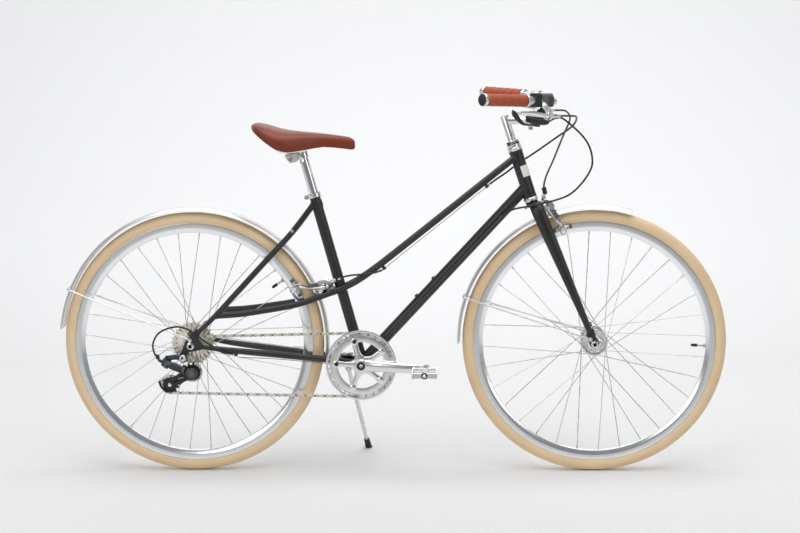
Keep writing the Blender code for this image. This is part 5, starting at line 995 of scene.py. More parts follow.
def makeCranks():
    makeCrank("right", -1, drive["crankAngle"])
    makeCrank("left", 1, drive["crankAngle"] + math.pi)
    spindle = lathe([(-66.0, 7.2), (-65, 8.2), (65, 8.2), (66.0, 7.2)], bracket, sides=32)
    piece("bottomSpindle", "crank_spindle", steel=spindle)
    x, z = bracket[0], bracket[2]
    spots = [crankPoint(turn, 65, 0) for turn in boltTurns]
    inside = [(-0.9, 62.0), (-0.9, 76.5), (0.9, 76.5), (0.9, 62.0)]
    ring = [toothed(drive["ring"], x, z, drive["ringY"], rootPhase(x, z, drive["ring"]), 76.0),
            hollow(inside, vec(x, drive["ringY"], z), sides=96, round=0.3)]
    ring += [hollow([(46.7, 4.0), (46.7, 9.2), (48.3, 9.2), (48.3, 4.0)], spot, outward, 32) for spot in spots]
    piece("chainringTeeth", "chainring", 30, silver=ring)
    bands = [hollow([(53.5, a), (53.5, b), (55.3, b), (55.3, a)], bracket, outward, 120, soft)
             for a, b, soft in ((86.8, 93.0, 0.7), (61.5, 78.6, 0.6))]
    heads, dark = [], []
    for k, spot in enumerate(spots):
        # a long slot lies outside each bolt; between the slots the disc is closed but for two small holes
        middle = math.degrees(boltTurns[k])
        bands += [arcBand(x, z, 78.0, 87.4, middle + a, middle + b, -55.15, -53.65)
                  for a, b in ((18, 27.5), (30.5, 41.5), (44.5, 54))]
        bands += [arcBand(x, z, 81.6, 83.2, middle - 16, middle + 16, -54.9, -53.8, 16),
                  hollow([(53.6, 3.0), (53.6, 9.4), (55.4, 9.4), (55.9, 8.8), (55.9, 3.0)], spot, outward, 32)]
        head = lathe([(55.5, 5.4), (57.4, 5.4), (57.8, 4.8), (57.8, 2.6)], spot, outward, 28)
        (dark if k in (1, 2) else heads).append(head)
        dark.append(lathe([(56.4, 2.7), (56.5, 0.4)], spot, outward, 6))
    piece("guardDisc", "guard_ring", 40, polished=bands, chrome=heads, black=dark)


def makeCassette():
    x, z = wheel["rearX"], wheel["axleZ"]
    phase = rootPhase(x, z, drive["cogs"][0])
    cogs = [toothed(n, x, z, drive["cogY"] + drive["cogStep"] * k, phase + (0.37 * k % 1) * 2 * math.pi / n, 17.0)
            for k, n in enumerate(drive["cogs"])]
    core = hollow([(-60.2, 6.2), (-60.2, 12.5), (-59.4, 14.8), (-24.0, 17.6), (-24.0, 6.2)], (x, 0, z), sides=56)
    outs = [vec(math.cos(a), 0, math.sin(a)) for a in turnOf(12)]
    lock = [block(vec(x, -60.3, z) + out * 13.0, (3.0, 1.2, 2.4), out, (-out[2], 0, out[0]), 0.3) for out in outs]
    piece("cogStack", "cassette", 30, cog=cogs, blackMetal=core, steel=lock)
    makeChain()


# Rear derailleur
derailleur = {"hanger": vec(-549, 0, 315), "start": vec(-590, -82, 301), "end": vec(-547, -82, 283.5),
              "slant": (0, 0.8, -0.6)}
linkRun = unit(derailleur["end"] - derailleur["start"])
linkAxis = unit(np.cross(linkRun, unit(derailleur["slant"])))


def linkEars(spot):
    # a boss above and one below the link's pin
    return [lathe([(9.0, 7.0), (9.4, 7.4), (11.4, 7.4), (12.0, 6.8)], spot, linkAxis * s, 24) for s in (1, -1)]


def makeHanger():
    hanger, back = derailleur["hanger"], derailleur["start"] - linkRun * 9.8
    arm = bent([hanger + vec(2, -80.5, 0), (-566, -81, 318.5), (-580, -81, 317), back + linkAxis * 14.5], 20,
               np.linspace(8.5, 5.5, 20), flat=np.linspace(5.0, 5.5, 20), side=(0, 1, 0), ends="round")
    spine = tube([back - linkAxis * 12, back + linkAxis * 14.5], 4.6, ends="round")
    holder = bent([back + vec(1, 0, 1), (-608, -86, 309), (-613, -87, 315)], 10, 4.4, 18, ends="round")
    bolt = [lathe([(67.3, 3.0), (73.3, 3.0), (73.3, 9.4), (77, 9.4)], hanger, outward, 32),
            lathe([(83, 9.0), (86.0, 9.0), (86.8, 8.2), (86.8, 4.2), (84.5, 3.8), (84.4, 0.4)], hanger, outward, 32)]
    collar = lathe([(76, 11.0), (77, 11.6), (82.5, 11.6), (83.2, 10.8)], hanger, outward, 36)
    barrel = lathe([(0, 4.6), (2, 5.2), (9, 5.2), (10, 4.2), (12, 3.4)], (-613.5, -87.1, 314.5),
                   unit((-0.12, -0.03, 1)), 10)
    screws = [lathe([(0, 2.2), (3, 2.2), (3.4, 1.7)], back + vec(-3.5, 0, 1.5) + linkAxis * k, vec(-0.9, 0, 0.4), 16)
              for k in (0.0, 8.0)]
    piece("hangerKnuckle", "derailleur_knuckle", 40,
          greyMetal=[arm, spine, holder, collar] + linkEars(derailleur["start"]), chrome=bolt, black=barrel,
          steel=screws)


def makeLink():
    start, end = derailleur["start"], derailleur["end"]
    middle, half = (start + end) / 2, np.linalg.norm(end - start) / 2 + 3
    face, high = unit(np.cross(linkRun, linkAxis)), vec(-linkRun[2], 0, linkRun[0])
    box = lambda a, b: [(-a, -b), (a, -b), (a, b), (-a, b)]
    shell = [(-18, -9), (15, -9), (18, -2), (15, 9), (-10, 11.5), (-18, 6)]
    facet = [(-12, -5), (9, -5), (11, 0), (9, 5), (-7, 7)]
    parts = [slab(box(half, 7.8), middle, linkRun, linkAxis, 9.6, 2.2, 5.0),
             slab(box(15, 4.5), middle + face * 4.8, linkRun, linkAxis, 1.4, 0.6, 3),
             slab(shell, middle + vec(1, -2, -1), linkRun, high, 12, 2.4, 6.0),
             slab(facet, middle + vec(1, -8.2, -1), linkRun, high, 1.2, 0.5, 3.0)]
    parts += [lathe([(-8.3, 1), (-8.3, 4.7), (8.3, 4.7), (8.3, 1)], p, linkAxis, 28, round=0.7) for p in (start, end)]
    pins = [pin(-8.7, 8.7, 2.4, p, linkAxis, 16) for p in (start, end)]
    piece("parallelLink", "derailleur_link", 40, greyMetal=parts, steel=pins)


def makeCage():
    upper, lower = jockeys()
    high, low = upper * (1, 0, 1), lower * (1, 0, 1)
    front = derailleur["end"] + linkRun * 9.8
    drum = [(66.2, 4.0), (66.2, 14.6), (70, 15.6), (80, 15.6), (84, 14.2), (86.4, 10.5), (86.8, 4.0)]
    knuckle = [lathe(drum, high, outward, 48, round=1.6),
               tube([front - linkAxis * 12, front + linkAxis * 12], 4.6, ends="round")]
    cap = lathe([(86.2, 9.4), (87.2, 9.4), (87.5, 8.8), (87.6, 0.5)], high, outward, 36)
    piece("lowerKnuckle", "derailleur_body", 40, greyMetal=knuckle + linkEars(derailleur["end"]), pad=cap)
    down = unit(lower - upper)
    below = vec(-down[2], 0, down[0])
    spots = [(lower, 23, -24), (lower, 26, -6), (lower, 20, 13), (lower, 8, 20), (lower, -3, 22), (lower, -15, 16),
             (upper, 33, 11), (upper, 16, 13), (upper, 0, 18), (upper, -12, 14), (upper, -18, 2), (upper, -14, -11),
             (upper, -2, -18), (upper, 22, -15), (upper, 50, -14)]
    edge = soften([(c + down * p + below * q)[[0, 2]] for c, p, q in spots], 5.0, True, 4)
    # the outer plate is a rim with a web to each pulley's bolt, so the chain shows through it
    away = edge.mean(0) - edge
    inside = edge + away * np.minimum(1, 5.4 / np.linalg.norm(away, axis=1))[:, None]
    plates = [skin([[(a[0], -65.4, a[1]), (a[0], -63.6, a[1]), (b[0], -63.6, b[1]), (b[0], -65.4, b[1])]
                    for a, b in zip(edge, inside)], along=True)]
    plates += [hollow([(63.6, 2.0), (63.6, radius), (65.4, radius), (65.4, 2.0)], centre, outward, 44, 0.4)
               for centre, radius in ((high, 21.5), (low, 12.5))]
    middle = (high + low) / 2 + vec(0, -64.5, 0)
    plates += [slab([(-32, -4.5), (30, -4.5), (30, 4.5), (-32, 4.5)], middle + below * shift, down, below, 1.7, 0.4,
                    2.0) for shift in (-8.0, 5.0)]
    lean = math.atan2(down[2], down[0])
    spots = [(c[0] + radius * math.cos(lean + turn), c[2] + radius * math.sin(lean + turn))
             for c, start, radius in ((upper, 90, 13.0), (lower, -90, 12.0))
             for turn in np.radians(np.linspace(start + 4, start + 176, 13))]
    plates.append(flatPlate(spots, -53.4, -51.9, 0.4, 1.5))
    posts = [pin(51.0, 65.9, 2.6, c, outward) for c in (high, low)]
    cap = lathe([(65.2, 4.6), (67.0, 4.6), (67.4, 4.0), (67.4, 1.8)], low, outward, 28)
    piece("pulleyCage", "derailleur_cage", 40, black=plates, steel=posts, chrome=cap)
    for name, c in (("upper", upper), ("lower", lower)):
        disc = toothed(drive["jockey"], c[0], c[2], c[1], rootPhase(c[0], c[2], drive["jockey"]), 4.0)
        boss = hollow([(-3.2, 3.2), (-3.2, 7), (3.2, 7), (3.2, 3.2)], c, sides=32, round=0.5)
        piece(name + "Jockey", "jockey_" + name, 30, black=[disc, boss])


print("mudguards, seat and drive")
makeGuards()
makeSeat()
makeCassette()
makeCranks()
makeHanger()
makeLink()
makeCage()


# Side-pull brakes
brakes = {"front": {"x": wheel["frontX"], "pad": 105.4, "spot": steer(steering["brake"]), "out": outSteer,
                    "reach": -upSteer, "gap": 19.0, "nut": 17.2, "tip": 22.5},
          "rear": {"x": wheel["rearX"], "pad": 27.89, "spot": vec(-158.2, 0, 481.6), "out": heading(117.89),
                   "reach": heading(207.89), "gap": 8.2, "nut": 8.0, "tip": 12.5}}


def slotEye(middle, out, reach):
    # the slotted eye that takes the shoe's stud: a thin ring carried round a stretched superellipse
    power = lambda wave, p: np.sign(wave) * np.abs(wave) ** p
    turn, cut = turnOf(40), turnOf(8)
    loop = middle + np.outer(7.6 * power(np.cos(turn), 0.9), out) + np.outer(17.5 * power(np.sin(turn), 0.8), reach)
    return skin([p + np.outer(np.cos(cut) * 2.2, unit(p - middle)) + np.outer(np.sin(cut) * 2.6, (0, 1, 0))
                 for p in loop], along=True)


def makeBrake(name, x, pad, spot, out, reach, gap, nut, tip):
    # a bolt and springs, then each arm in its own layer, swept from the bolt round to the shoe
    pad, base = around(x, 310.5, pad), spot
    bolt = [lathe([(-tip, 2.4), (-tip, 3.0), (gap + 22.5, 3.0), (gap + 23, 2.4)], base, out, 20),
            pin(-tip, -nut, 5.4, base, out, 6),
            lathe([(gap, 3), (gap, 8.2), (gap + 6.2, 7.4), (gap + 6.2, 3)], base, out, 32, round=0.8),
            lathe([(gap + 18.2, 5.8), (gap + 19.2, 5.8), (gap + 23.4, 5.0)], base, out, 6)]
    springs = [bent([base + out * (gap + 3.2) + vec(0, s * a, 0) + reach * b
                     for a, b in ((6, -1), (15, -3), (22, 3), (27, 14), (29, 24))], 24, 2.1, 10) for s in (1, -1)]
    piece(name + "BrakeBolt", name + "_brake_bolt", 40, chrome=bolt, blackMetal=springs)
    padOut, padReach = np.dot(pad - base, out), np.dot(pad - base, reach)
    tangent = unit(vec(-(pad[2] - wheel["axleZ"]), 0, pad[0] - x))
    radial = np.cross(tangent, vec(0, 1, 0))
    for side, sign, layer in (("right", -1, gap + 6.7), ("left", 1, gap + 12.7)):
        at = lambda y, k, d: base + vec(0, y, 0) + out * k + reach * d
        axis, middle = (0, sign, 0), layer + 2.4
        line = [at(sign * y, k, d) for y, k, d in
                ((3, middle, 0), (13, middle, 1), (23, middle + 1, 6), (29.5, middle + 5, 18),
                 (30.5, (middle + padOut) / 2 + 3, padReach * 0.58), (28.6, padOut, padReach - 9))]
        arm = bent(line, 44, graded(44, [0, 0.3, 0.6, 1], [8.2, 7.6, 6.8, 6.0]), side=out, ends="round",
                   flat=graded(44, [0, 0.25, 0.45, 0.7, 1], [2.6, 7.5, 5.0, 4.2, 5.0]))
        eye = hollow([(layer, 3.7), (layer, 10.2), (layer + 4.8, 10.2), (layer + 4.8, 3.7)], base, out, 40, 0.6)
        solid = [arm, eye, slotEye(at(sign * 27.4, padOut, padReach - 2), out, reach),
                 block(pad + vec(0, sign * 21.6, 0), (36, 4.6, 10.4), tangent, radial, 1.6)]
        nutAt = pad + vec(0, sign * 29.0, 0)
        steel = [pin(-3.5, -2.3, 6.0, nutAt, axis, 28), lathe([(-2.3, 4.4), (2.6, 4.4), (3.4, 3.6)], nutAt, axis, 6),
                 lathe([(3.2, 4.2), (5.4, 3.2), (6.4, 1.0)], nutAt, axis, 20), pin(21, 33.5, 3.3, pad, axis)]
        dark = [block(pad + vec(0, sign * 17.2, 0), (50, 8.2, 9.6), tangent, radial, 1.4)]
        dark += [block(pad + vec(0, sign * 17.6, 0) + tangent * (k * 8.0), (2.0, 8.6, 9.6), tangent, radial, 0.3)
                 for k in range(-2, 3)]
        if sign < 0:
            # the arm's short end holds the housing's adjuster; the wire goes on to the clamp nut below
            cheek = [(0, -7), (11, -10), (22, 0), (26, 17), (20, 29), (11, 26), (4, 14)]
            patch = [(-1, -4), (8, -7), (5, 2), (1, 6)]
            adjuster, clampAt = at(-17, middle + 6, -13.5), at(-25, middle + 7, 9)
            wireAt = clampAt + vec(0, -4, 0)
            solid += [slab([(a + middle, b) for a, b in cheek], base + vec(0, -24, 0), out, reach, 5.5, 1.6, 5.0),
                      tube([at(-3, middle, -2), at(-10, middle + 1, -8), adjuster], [5.4, 5.0, 5.2], 18,
                           flat=[2.6, 3.6, 4.6], side=out, ends="round"),
                      lathe([(-9, 3.2), (-9, 5.0), (-3, 5.6), (5, 5.2), (5, 3.2)], adjuster, reach, 24, round=0.6),
                      tube([at(-21, middle - 2, 4), clampAt + reach * 9], [7.5, 9.0], flat=[3.6, 3.2], side=(0, 1, 0),
                           ends="round")]
            steel += [lathe([(2.5, 7.8), (4.2, 7.8), (4.2, 6.6), (8.0, 6.4), (8.4, 5.4)], clampAt, axis, 6),
                      tube([adjuster + reach * 4, wireAt - reach * 2, wireAt + reach * 14], 0.9, 8),
                      hexHead(at(-31, middle - 8, -5), axis, 4.4, 3.0), hexHead(at(-32, middle + 1, 9), axis, 3.8, 3.4)]
            dark += [slab([(a + middle, b) for a, b in patch], base + vec(0, -26.9, 0), out, reach, 1.0, 0.2, 1.5),
                     lathe([(8.0, 3.9), (8.8, 3.5), (8.8, 0.4)], clampAt, axis, 20),
                     # the dark ring and short tube are a spring; the longer dark tube run down the arm towards the shoe
                     # darkens the arm's side, a painted shade
                     ringWire(at(-29, middle + 19, 30), (0, 1, 0), 5.0, 2.2),
                     tube([at(-30, middle + 19, 24), at(-31, middle + 27, 46)], 3.2, 10),
                     tube([at(-32, middle + 9, 20), at(-33.5, (middle + padOut) / 2 + 4, padReach * 0.58),
                           at(-31.5, padOut, padReach - 16)], [4.2, 3.8, 2.6], 14, ends="round"),
                     block(at(-30, middle - 7, 4), (9, 5, 11), out, reach)]
        else:
            solid.append(tube([at(-2, middle, 0), at(-9, middle, -0.5), at(-15, middle, -1)], [5.0, 4.4, 4.2], 16,
                              flat=2.6, side=out, ends="round"))
            steel.append(hexHead(at(-13.5, middle, -1) + out * 2.2, out, 4.6, 3.4))
        piece(name + "Caliper" + side.capitalize(), name + "_brake_arm_" + side, 40, silver=solid, chrome=steel,
              pad=dark)


# Cockpit
cockpit = {"quillTop": 625.0, "gripStart": 9.4, "gripLength": 124.7, "gripRadius": 15.6, "lap": 24.0}
shifter = {"centre": gripPoint(198, -1) + vec(-18.5, 11.0, -44.0), "nose": vec(40.0, -4.5, 0.0),
           "spin": unit((0.15, -0.25, 0.96))}


def makeStem():
    high, lug = cockpit["quillTop"], clamp + vec(-3, 0, -18)
    quill = [(440, 9), (441, 11.1), (high + 9.5, 11.1), (high + 11, 10.4), (high + 11.2, 0.6)]
    # the arm's section is taller where it meets the quill, and its top edge runs level with the quill's
    first, last = steer(high - 1.5, -1), clamp - vec(10, 0, 0)
    arm = tube(first + np.outer(np.linspace(0, 1, 24), last - first),
               graded(24, [0, 0.22, 0.5, 1], [12.6, 10.6, 9.6, 9.8]), 40, side=(0, 1, 0),
               flat=graded(24, [0, 0.3, 0.7, 1], [10.6, 10.0, 10.4, 14.0]))
    fillet = tube([steer(high - 16, 6), steer(high - 9, 11), steer(high - 8, 22)], [5.0, 6.0, 4.0], 24, ends="round")
    ring = hollow([(-20, 13.1), (-20, 16.9), (20, 16.9), (20, 13.1)], clamp, sides=56, round=1.6)
    bolts = [pin(-5.4, 5.4, 3.0, clamp + vec(-3, 0, -20), sides=16)]
    bolts += [hexHead(clamp + vec(-3, s * 8.4, -20), (0, s, 0), 5.2, 3.6) for s in (1, -1)]
    bolts.append(socketHead(steerFoot + upSteer * (high + 11), upSteer, 6.6, 2.0))
    piece("quillStem", "stem", 50, chrome=bolts, polished=[lathe(quill, steerFoot, upSteer, 52), arm, fillet, ring,
                                                           block(lug, (13, 17, 13), edge=2.4)])


def makeBar():
    half = smoothPath([clamp + vec(*p) for p in ((0, 24, 0), (2, 42, 1.2), (10, 64, 9.5), (25, 92, 26), (36, 121, 45))]
                      + [gripPoint(219, 1), gripPoint(120, 1)], 90)
    half = np.vstack([half, [gripPoint(0.6, 1)]])
    line = np.vstack([half[::-1] * vec(1, -1, 1), half])
    rings, plugs = [tube(line, np.interp(np.abs(line[:, 1]), [0, 40, 60], [12.7, 12.7, 11.1]), 32, side=(0, 0, 1))], []
    inner = [(-8.2, 11.2), (-8.2, 15.6), (-6.8, 16.4), (-1.2, 16.4), (0, 15.6), (0, 11.2)]
    outer = [(-1.0, 11.2), (-1.0, 15.4), (1, 16.6), (7.6, 16.6), (8.6, 15.6), (8.6, 11.2)]
    plug = [(7.0, 15.0), (10.5, 14.6), (13.0, 12.0), (14.4, 7.0), (14.8, 0.8)]
    for side in (-1, 1):
        axis, grip = gripAxis(side), cockpit["gripStart"] + cockpit["gripLength"] + 0.4
        rings += [hollow(inner, gripPoint(grip, side), axis, 44, 0.9),
                  hollow(outer, gripPoint(8.0, side), axis, 44, 0.9)]
        plugs.append(lathe(plug, gripPoint(8.0, side), axis))
    piece("sweptBar", "handlebar", 40, polished=rings, rubber=plugs)


def makeGrip(name, side):
    # a leather strip wound round the bar: the radius grows by lap ^ 0.7 across each turn, less a groove at its edge
    base, length = gripPoint(cockpit["gripStart"], side), cockpit["gripLength"]
    axis, across, up = frameOf(-gripAxis(side))
    turn = turnOf(60, 0.5)
    rings, laps = [], []
    for s in np.linspace(0, length, 118):
        lap = (s / cockpit["lap"] + side * turn / (2 * math.pi)) % 1.0
        swell = cockpit["gripRadius"] - 0.8 - 1.6 * np.exp(-min(s, length - s) / 1.6)
        groove = 0.7 * np.exp(-(np.minimum(lap, 1 - lap) / 0.035) ** 2)
        radius = swell + 1.1 * lap ** 0.7 * np.clip((1 - lap) / 0.05, 0, 1) - groove
        rings.append(base + axis * s + np.outer(np.cos(turn) * radius, across) + np.outer(np.sin(turn) * radius, up))
        laps.append(np.stack([lap * 0 + s, lap], 1))
    piece(name + "GripLeather", "grip_" + name, 60, wrap=skin(rings, flow=laps))


def leverPivot(side):
    # the brake lever's pin
    return gripPoint(183, side, 27, 36)


def makeLever(name, side):
    pivot, along, seat = leverPivot(side), gripAxis(side), gripPoint(180, side)
    axis = unit(np.cross(along, unit(gripPoint(100, side, 27, 36) - gripPoint(100, side))))
    across = np.cross(axis, along)
    collar = hollow([(-11, 11.5), (-11, 15.6), (11, 15.6), (11, 11.5)], seat, along, 40, 1.2)
    limb = bent([gripPoint(180, side, 8, 7), gripPoint(184, side, 17, 14), gripPoint(190, side, 24, 27)], 16,
                np.linspace(8.4, 7.2, 16), 24, flat=np.linspace(8.4, 7.4, 16), ends="round")
    ears = [slab([(-11, -8), (4, -8), (10, -3), (10, 3), (4, 8), (-11, 8)], pivot + axis * s * 7.2 - along * 2, along,
                 across, 3.4, 0.6, 3.0) for s in (1, -1)]
    barrel = [lathe([(0, 5.2), (2, 5.6), (18, 5.4), (20, 4.6)], pivot - along * 13, -along, 24),
              lathe([(20, 4.6), (21, 5.0), (26, 5.0), (28, 3.8)], pivot - along * 13, -along, 12)]
    screwRun = unit(gripPoint(180, side, 8, -12) - seat)
    steel = [lathe([(-9.6, 2.4), (-9.2, 3.4), (9.2, 3.4), (9.6, 2.4)], pivot, axis, 20),
             socketHead(seat + screwRun * 14.6, screwRun, 3.4, 2.6)]
    back = block(pivot - along * 11.5, (7, 16, 17.5), along, axis, 2.0)
    piece(name + "LeverBracket", "brake_bracket_" + name, 40, silver=[collar, limb, back] + ears + barrel,
          chrome=steel)
    line = [pivot, gripPoint(160, side, 30.5, 34.5), gripPoint(120, side, 31.5, 31.5), gripPoint(84, side, 35.5, 30.5)]
    stops = [0, 0.16, 0.35, 0.7, 0.93, 1]
    blade = bent(line, 48, graded(48, stops, [5.0, 6.4, 8.0, 7.6, 6.6, 6.0]), 28, side=unit(np.cross(along, axis)),
                 flat=graded(48, stops, [4.8, 5.0, 4.6, 4.3, 4.0, 4.4]), ends="round")
    boss = hollow([(-4.9, 3.6), (-4.9, 6.0), (-4.5, 6.4), (4.5, 6.4), (4.9, 6.0), (4.9, 3.6)], pivot, axis, 32)
    piece(name + "LeverBlade", "brake_lever_" + name, 50, polished=[blade, boss])


def makeShifter():
    # a box round the bar, an oval pod hung below it, and a curled thumb lever that swings under the pod
    seat, axis, lift = gripPoint(202.5, -1), gripAxis(-1), vec(0, 0, 1)
    centre, spin, tip = shifter["centre"], shifter["spin"], shifter["nose"]
    across = np.cross(axis, lift)
    outline = [(-16.4, -16), (16.4, -16), (16.4, 9), (10, 18), (-13, 18), (-16.4, 11)]
    plate = [(-12, -9), (11, -9), (11, 8), (7, 12.5), (-10, 12.5), (-12, 9)]
    box = slab(outline, gripPoint(195, -1) + lift, across, lift, 38, 2.6, 5.0)
    hood = slab([(a * 1.03, b * 1.03) for a, b in outline], gripPoint(167, -1) + lift, across, lift, 19, 2.0, 5.0)
    visor = slab(plate, seat + lift - axis * 14.2, across, lift, 1.6, 0.5, 4.0)
    combs = [block(seat + across * (-16.5) * math.copysign(1, across[1]) + lift * z, (2.2, 13, 2.0), across, lift, 0.4)
             for z in (-9, -4, 1, 6, 11)]
    neck = bent([seat + vec(0, 0, -10), seat + vec(-8, 4, -22), centre + vec(2, -1, 10)], 14,
                np.linspace(7.0, 12.0, 14), 24, flat=np.linspace(6.4, 9.5, 14), ends="round")
    # the pod, its lid and its seam are ovals stacked along the lever's axle
    oval = lambda heights, deep, long, sides=56: tube([centre + spin * h for h in heights], deep, sides, flat=long,
                                                      side=(1, 0, 0), ends="plain")
    pod = oval([-13.0, -12.4, -9.5, -3, 4, 10.5, 14.2, 15.0], [11.0, 14.5, 18.4, 19.2, 19.2, 18.6, 14.5, 10.0],
               [20.0, 25.0, 30.0, 31.2, 31.2, 30.2, 25.0, 19.0])
    lid = oval([14.4, 15.7, 16.2], [9.5, 9.2, 8.0], [18.5, 18.0, 16.5], 48)
    seam = oval([2.4, 2.8, 4.2, 4.6], [19.0, 19.7, 19.7, 19.0], [31.0, 31.7, 31.7, 31.0])
    nose = tube([centre + tip * 0.5, centre + tip * 0.7, centre + tip * 0.86], [9.0, 6.6, 5.6], 24, ends="round")
    barrel = lathe([(0, 4.6), (1, 5.4), (7, 5.4), (8, 4.0), (9, 3.4)], centre + tip * 0.8, unit(tip), 12)
    screw = socketHead(centre + spin * 16.0 + vec(7, 0, 0), spin, 3.2, 1.4)
    piece("shifterHousing", "shifter_pod", 40, black=[neck, pod, nose, hood] + combs + [barrel, visor],
          greyPlastic=[box, lid, seam], steel=screw)
    hinge = centre - spin * 16.8
    line = [hinge + vec(*p) for p in ((2, 1, 0), (-20, -8, 0), (-34, -13, 2.5), (-44, -17, 12), (-53, -20, 23),
                                      (-60, -22, 36))]
    paddle = bent(line, 40, graded(40, [0, 0.4, 0.62, 0.85, 1], [2.2, 2.4, 5.4, 7.4, 5.6]), 24, side=(0, 1, 0),
                  flat=graded(40, [0, 0.6, 0.85, 1], [6.6, 6.8, 9.0, 7.5]), ends="round")
    hub = lathe([(-3.1, 1), (-3.1, 9.2), (3.1, 9.2), (3.1, 1)], hinge, spin, 36, round=0.9)
    piece("shiftPaddle", "shift_lever", 40, black=[paddle, hub])


# Cables
def housing(corners, steps):
    # a cable's outer cover along a given route
    return bent(corners, steps, 2.5, 14, edge=0.3)


def ferrule(spot, along, length=9.0):
    # a metal cap on a housing's end
    return lathe([(-length, 2.6), (-length, 3.2), (-0.6, 3.2), (0, 2.8), (0, 1.0)], spot, along, 18)


def makeCables():
    upper, lower, run = brakeStops["upper"], brakeStops["lower"], brakeRun
    start = leverPivot(-1) - gripAxis(-1) * 41.5
    outers = [housing([start, start + vec(22, 12, -1), (478, -104, 940), (470, -58, 915), (428, -10, 881),
                       (380, 22, 845), (330, 27, 812), (301, 3, 792), upper + run * 25, upper + run * 6], 130),
              housing([lower - run * 6, (-42, -31.5, 534), (-62, -33.5, 531), (-84, -30, 528), (-104, -25, 526),
                       (-128, -21.5, 521), (-143, -18.5, 513.5)], 60)]
    tips = [ferrule(upper + run * 4.9, -run), ferrule(lower - run * 4.9, run),
            ferrule((-143, -18.5, 513.5), unit((-15, 3, -7.5)), 8)]
    piece("rearBrakeCable", "rear_brake_cable", 50, housing=outers, silver=tips,
          wire=tube([upper + run * 7, lower - run * 7], 0.9, 8))
    start = leverPivot(1) - gripAxis(1) * 41.5
    outer = housing([start, start + vec(25, -12, -2), (470, 108, 925), (450, 76, 880), (424, 34, 822), (406, 2, 786),
                     (398.5, -15, 764), (397.8, -17, 752)], 110)
    foot, top = vec(401.2, -17, 735.4), vec(397.6, -17, 753)
    boot = lathe([(-19, 2.8), (-17.5, 6.0), (-12, 6.6), (-11, 5.6), (-8, 5.6), (-7, 6.4), (-2, 6.0), (0, 4.0)], foot,
                 unit(foot - top), 24, round=0.6)
    piece("frontBrakeCable", "front_brake_cable", 50, housing=outer, rubber=boot)
    nose, onTube = shifter["centre"] + shifter["nose"], lambda run, *aside: bracket + downTube * run + vec(*aside)
    outer = housing([nose + vec(1.5, 0, 0), nose + vec(25, -1, -2), (496, -140, 889), (516, -132, 844),
                     (511, -112, 800), (464, -75, 741), (389, -46, 713), (322, -32, 699),
                     onTube(540, 0, -23.5, 0)], 130)
    wire = bent([onTube(540, 0, -22.5, 0), onTube(500, 0, -21.2, -0.3), onTube(60, 0, -18, -4), (-58, -16, 279),
                 (-70, -15, 270.4), (-92, -16, 269.5), (-112, -24, 279), (-150, -31, 289), (-300, -43, 305.5),
                 (-404, -54, 313.0)], 120, 0.9, 8)
    tip = ferrule(onTube(538, 0, -22.8, 0), unit(-downTube - vec(0.1, -0.05, 0)), 7)
    piece("gearCable", "gear_cable", 50, housing=outer, wire=wire, black=tip)
    loop = housing([(-418.5, -57, 321.7), (-450, -72, 331), (-500, -83, 368), (-533, -85, 392), (-568, -87, 399),
                    (-608, -89, 384), (-625, -90, 355), (-622, -88.5, 330), (-615.0, -87.4, 318)], 110)
    piece("gearCableLoop", "gear_cable_loop", 50, housing=loop)


# Kickstand
stand = {"pivot": vec(-122.0, 25.0, 271.0), "axis": unit((-0.215, 1.0, 0.2)),
         "foot": vec(-82.0, 203.0, 203.0 * math.tan(stance["lean"]))}


def makeStand():
    pivot, axis, foot = stand["pivot"], stand["axis"], stand["foot"]
    down, reach = unit(foot - pivot), np.linalg.norm(foot - pivot)
    ahead = unit(vec(1, 0, 0) - axis * axis[0])
    # each cheek is a half round below the pivot with straight sides above it
    cheek = [(8, 14.5)] + [(8 * math.cos(a), 8 * math.sin(a)) for a in np.radians(np.linspace(360, 180, 13))]
    cheeks = [slab(cheek + [(-8, 14.5)], pivot + axis * s * 9.5, ahead, np.cross(ahead, axis), 3.8, 0.6, 1.0)
              for s in (1, -1)]
    plates = [block((-122, 0, 296.5), (26, 24, 25), edge=2.0), block((-124, 9, 283.65), (26, 50, 3.5), edge=1.0),
              block((-122, 0, 309.5), (26, 44, 4), edge=1.4)]
    bolts = [lathe([(-12, 2.8), (-12.6, 4.0), (-13.0, 4.0)], pivot, axis, 20),
             hexHead(pivot + axis * 11.6, axis, 5.4, 3.6), hexHead((-122, 0, 311.2), (0, 0, 1), 6.0, 4.4),
             pin(-0.2, 1.2, 8.0, (-122, 0, 311.2), (0, 0, 1), 24, 0.4), pin(-9, 9, 3.4, pivot, axis)]
    piece("standBracket", "kickstand_bracket", 40, blackMetal=plates, silver=cheeks, chrome=bolts)
    line = [pivot - axis * 3.2 + down * 3, pivot - axis * 2.4 + down * 16, pivot + down * 48, pivot + down * 150,
            foot - down * 13]
    leg = bent(line, 40, graded(40, [0, 0.1, 0.3, 1], [5.8, 6.4, 6.6, 5.2]), 28, ends="round")
    hub = hollow([(-7.1, 4.2), (-7.1, 9.2), (7.1, 9.2), (7.1, 4.2)], pivot, axis, 36, 0.8)
    piece("standLeg", "kickstand_leg", 50, silver=[leg, hub])
    boot = [(-36, 6.0), (-35.5, 7.2), (-20, 7.9)]
    for rib in (-18, -13, -8):
        boot += [(rib, 8.4), (rib + 1.4, 7.6), (rib + 2.8, 8.6)]
    points, faces, flow = lathe([(reach + a, r) for a, r in boot + [(-2, 9.2), (9, 9.4)]], pivot, down, 32)
    # the sole lies flat on the floor: what would go below it is lifted
    c, s = math.cos(stance["lean"]), math.sin(stance["lean"])
    lift = np.maximum(0.05 - (points[:, 2] * c - points[:, 1] * s + stance["shift"][2]), 0)
    piece("standFoot", "kickstand_foot", 40, rubber=(points + np.outer(lift, (0, -s, c)), faces, flow))


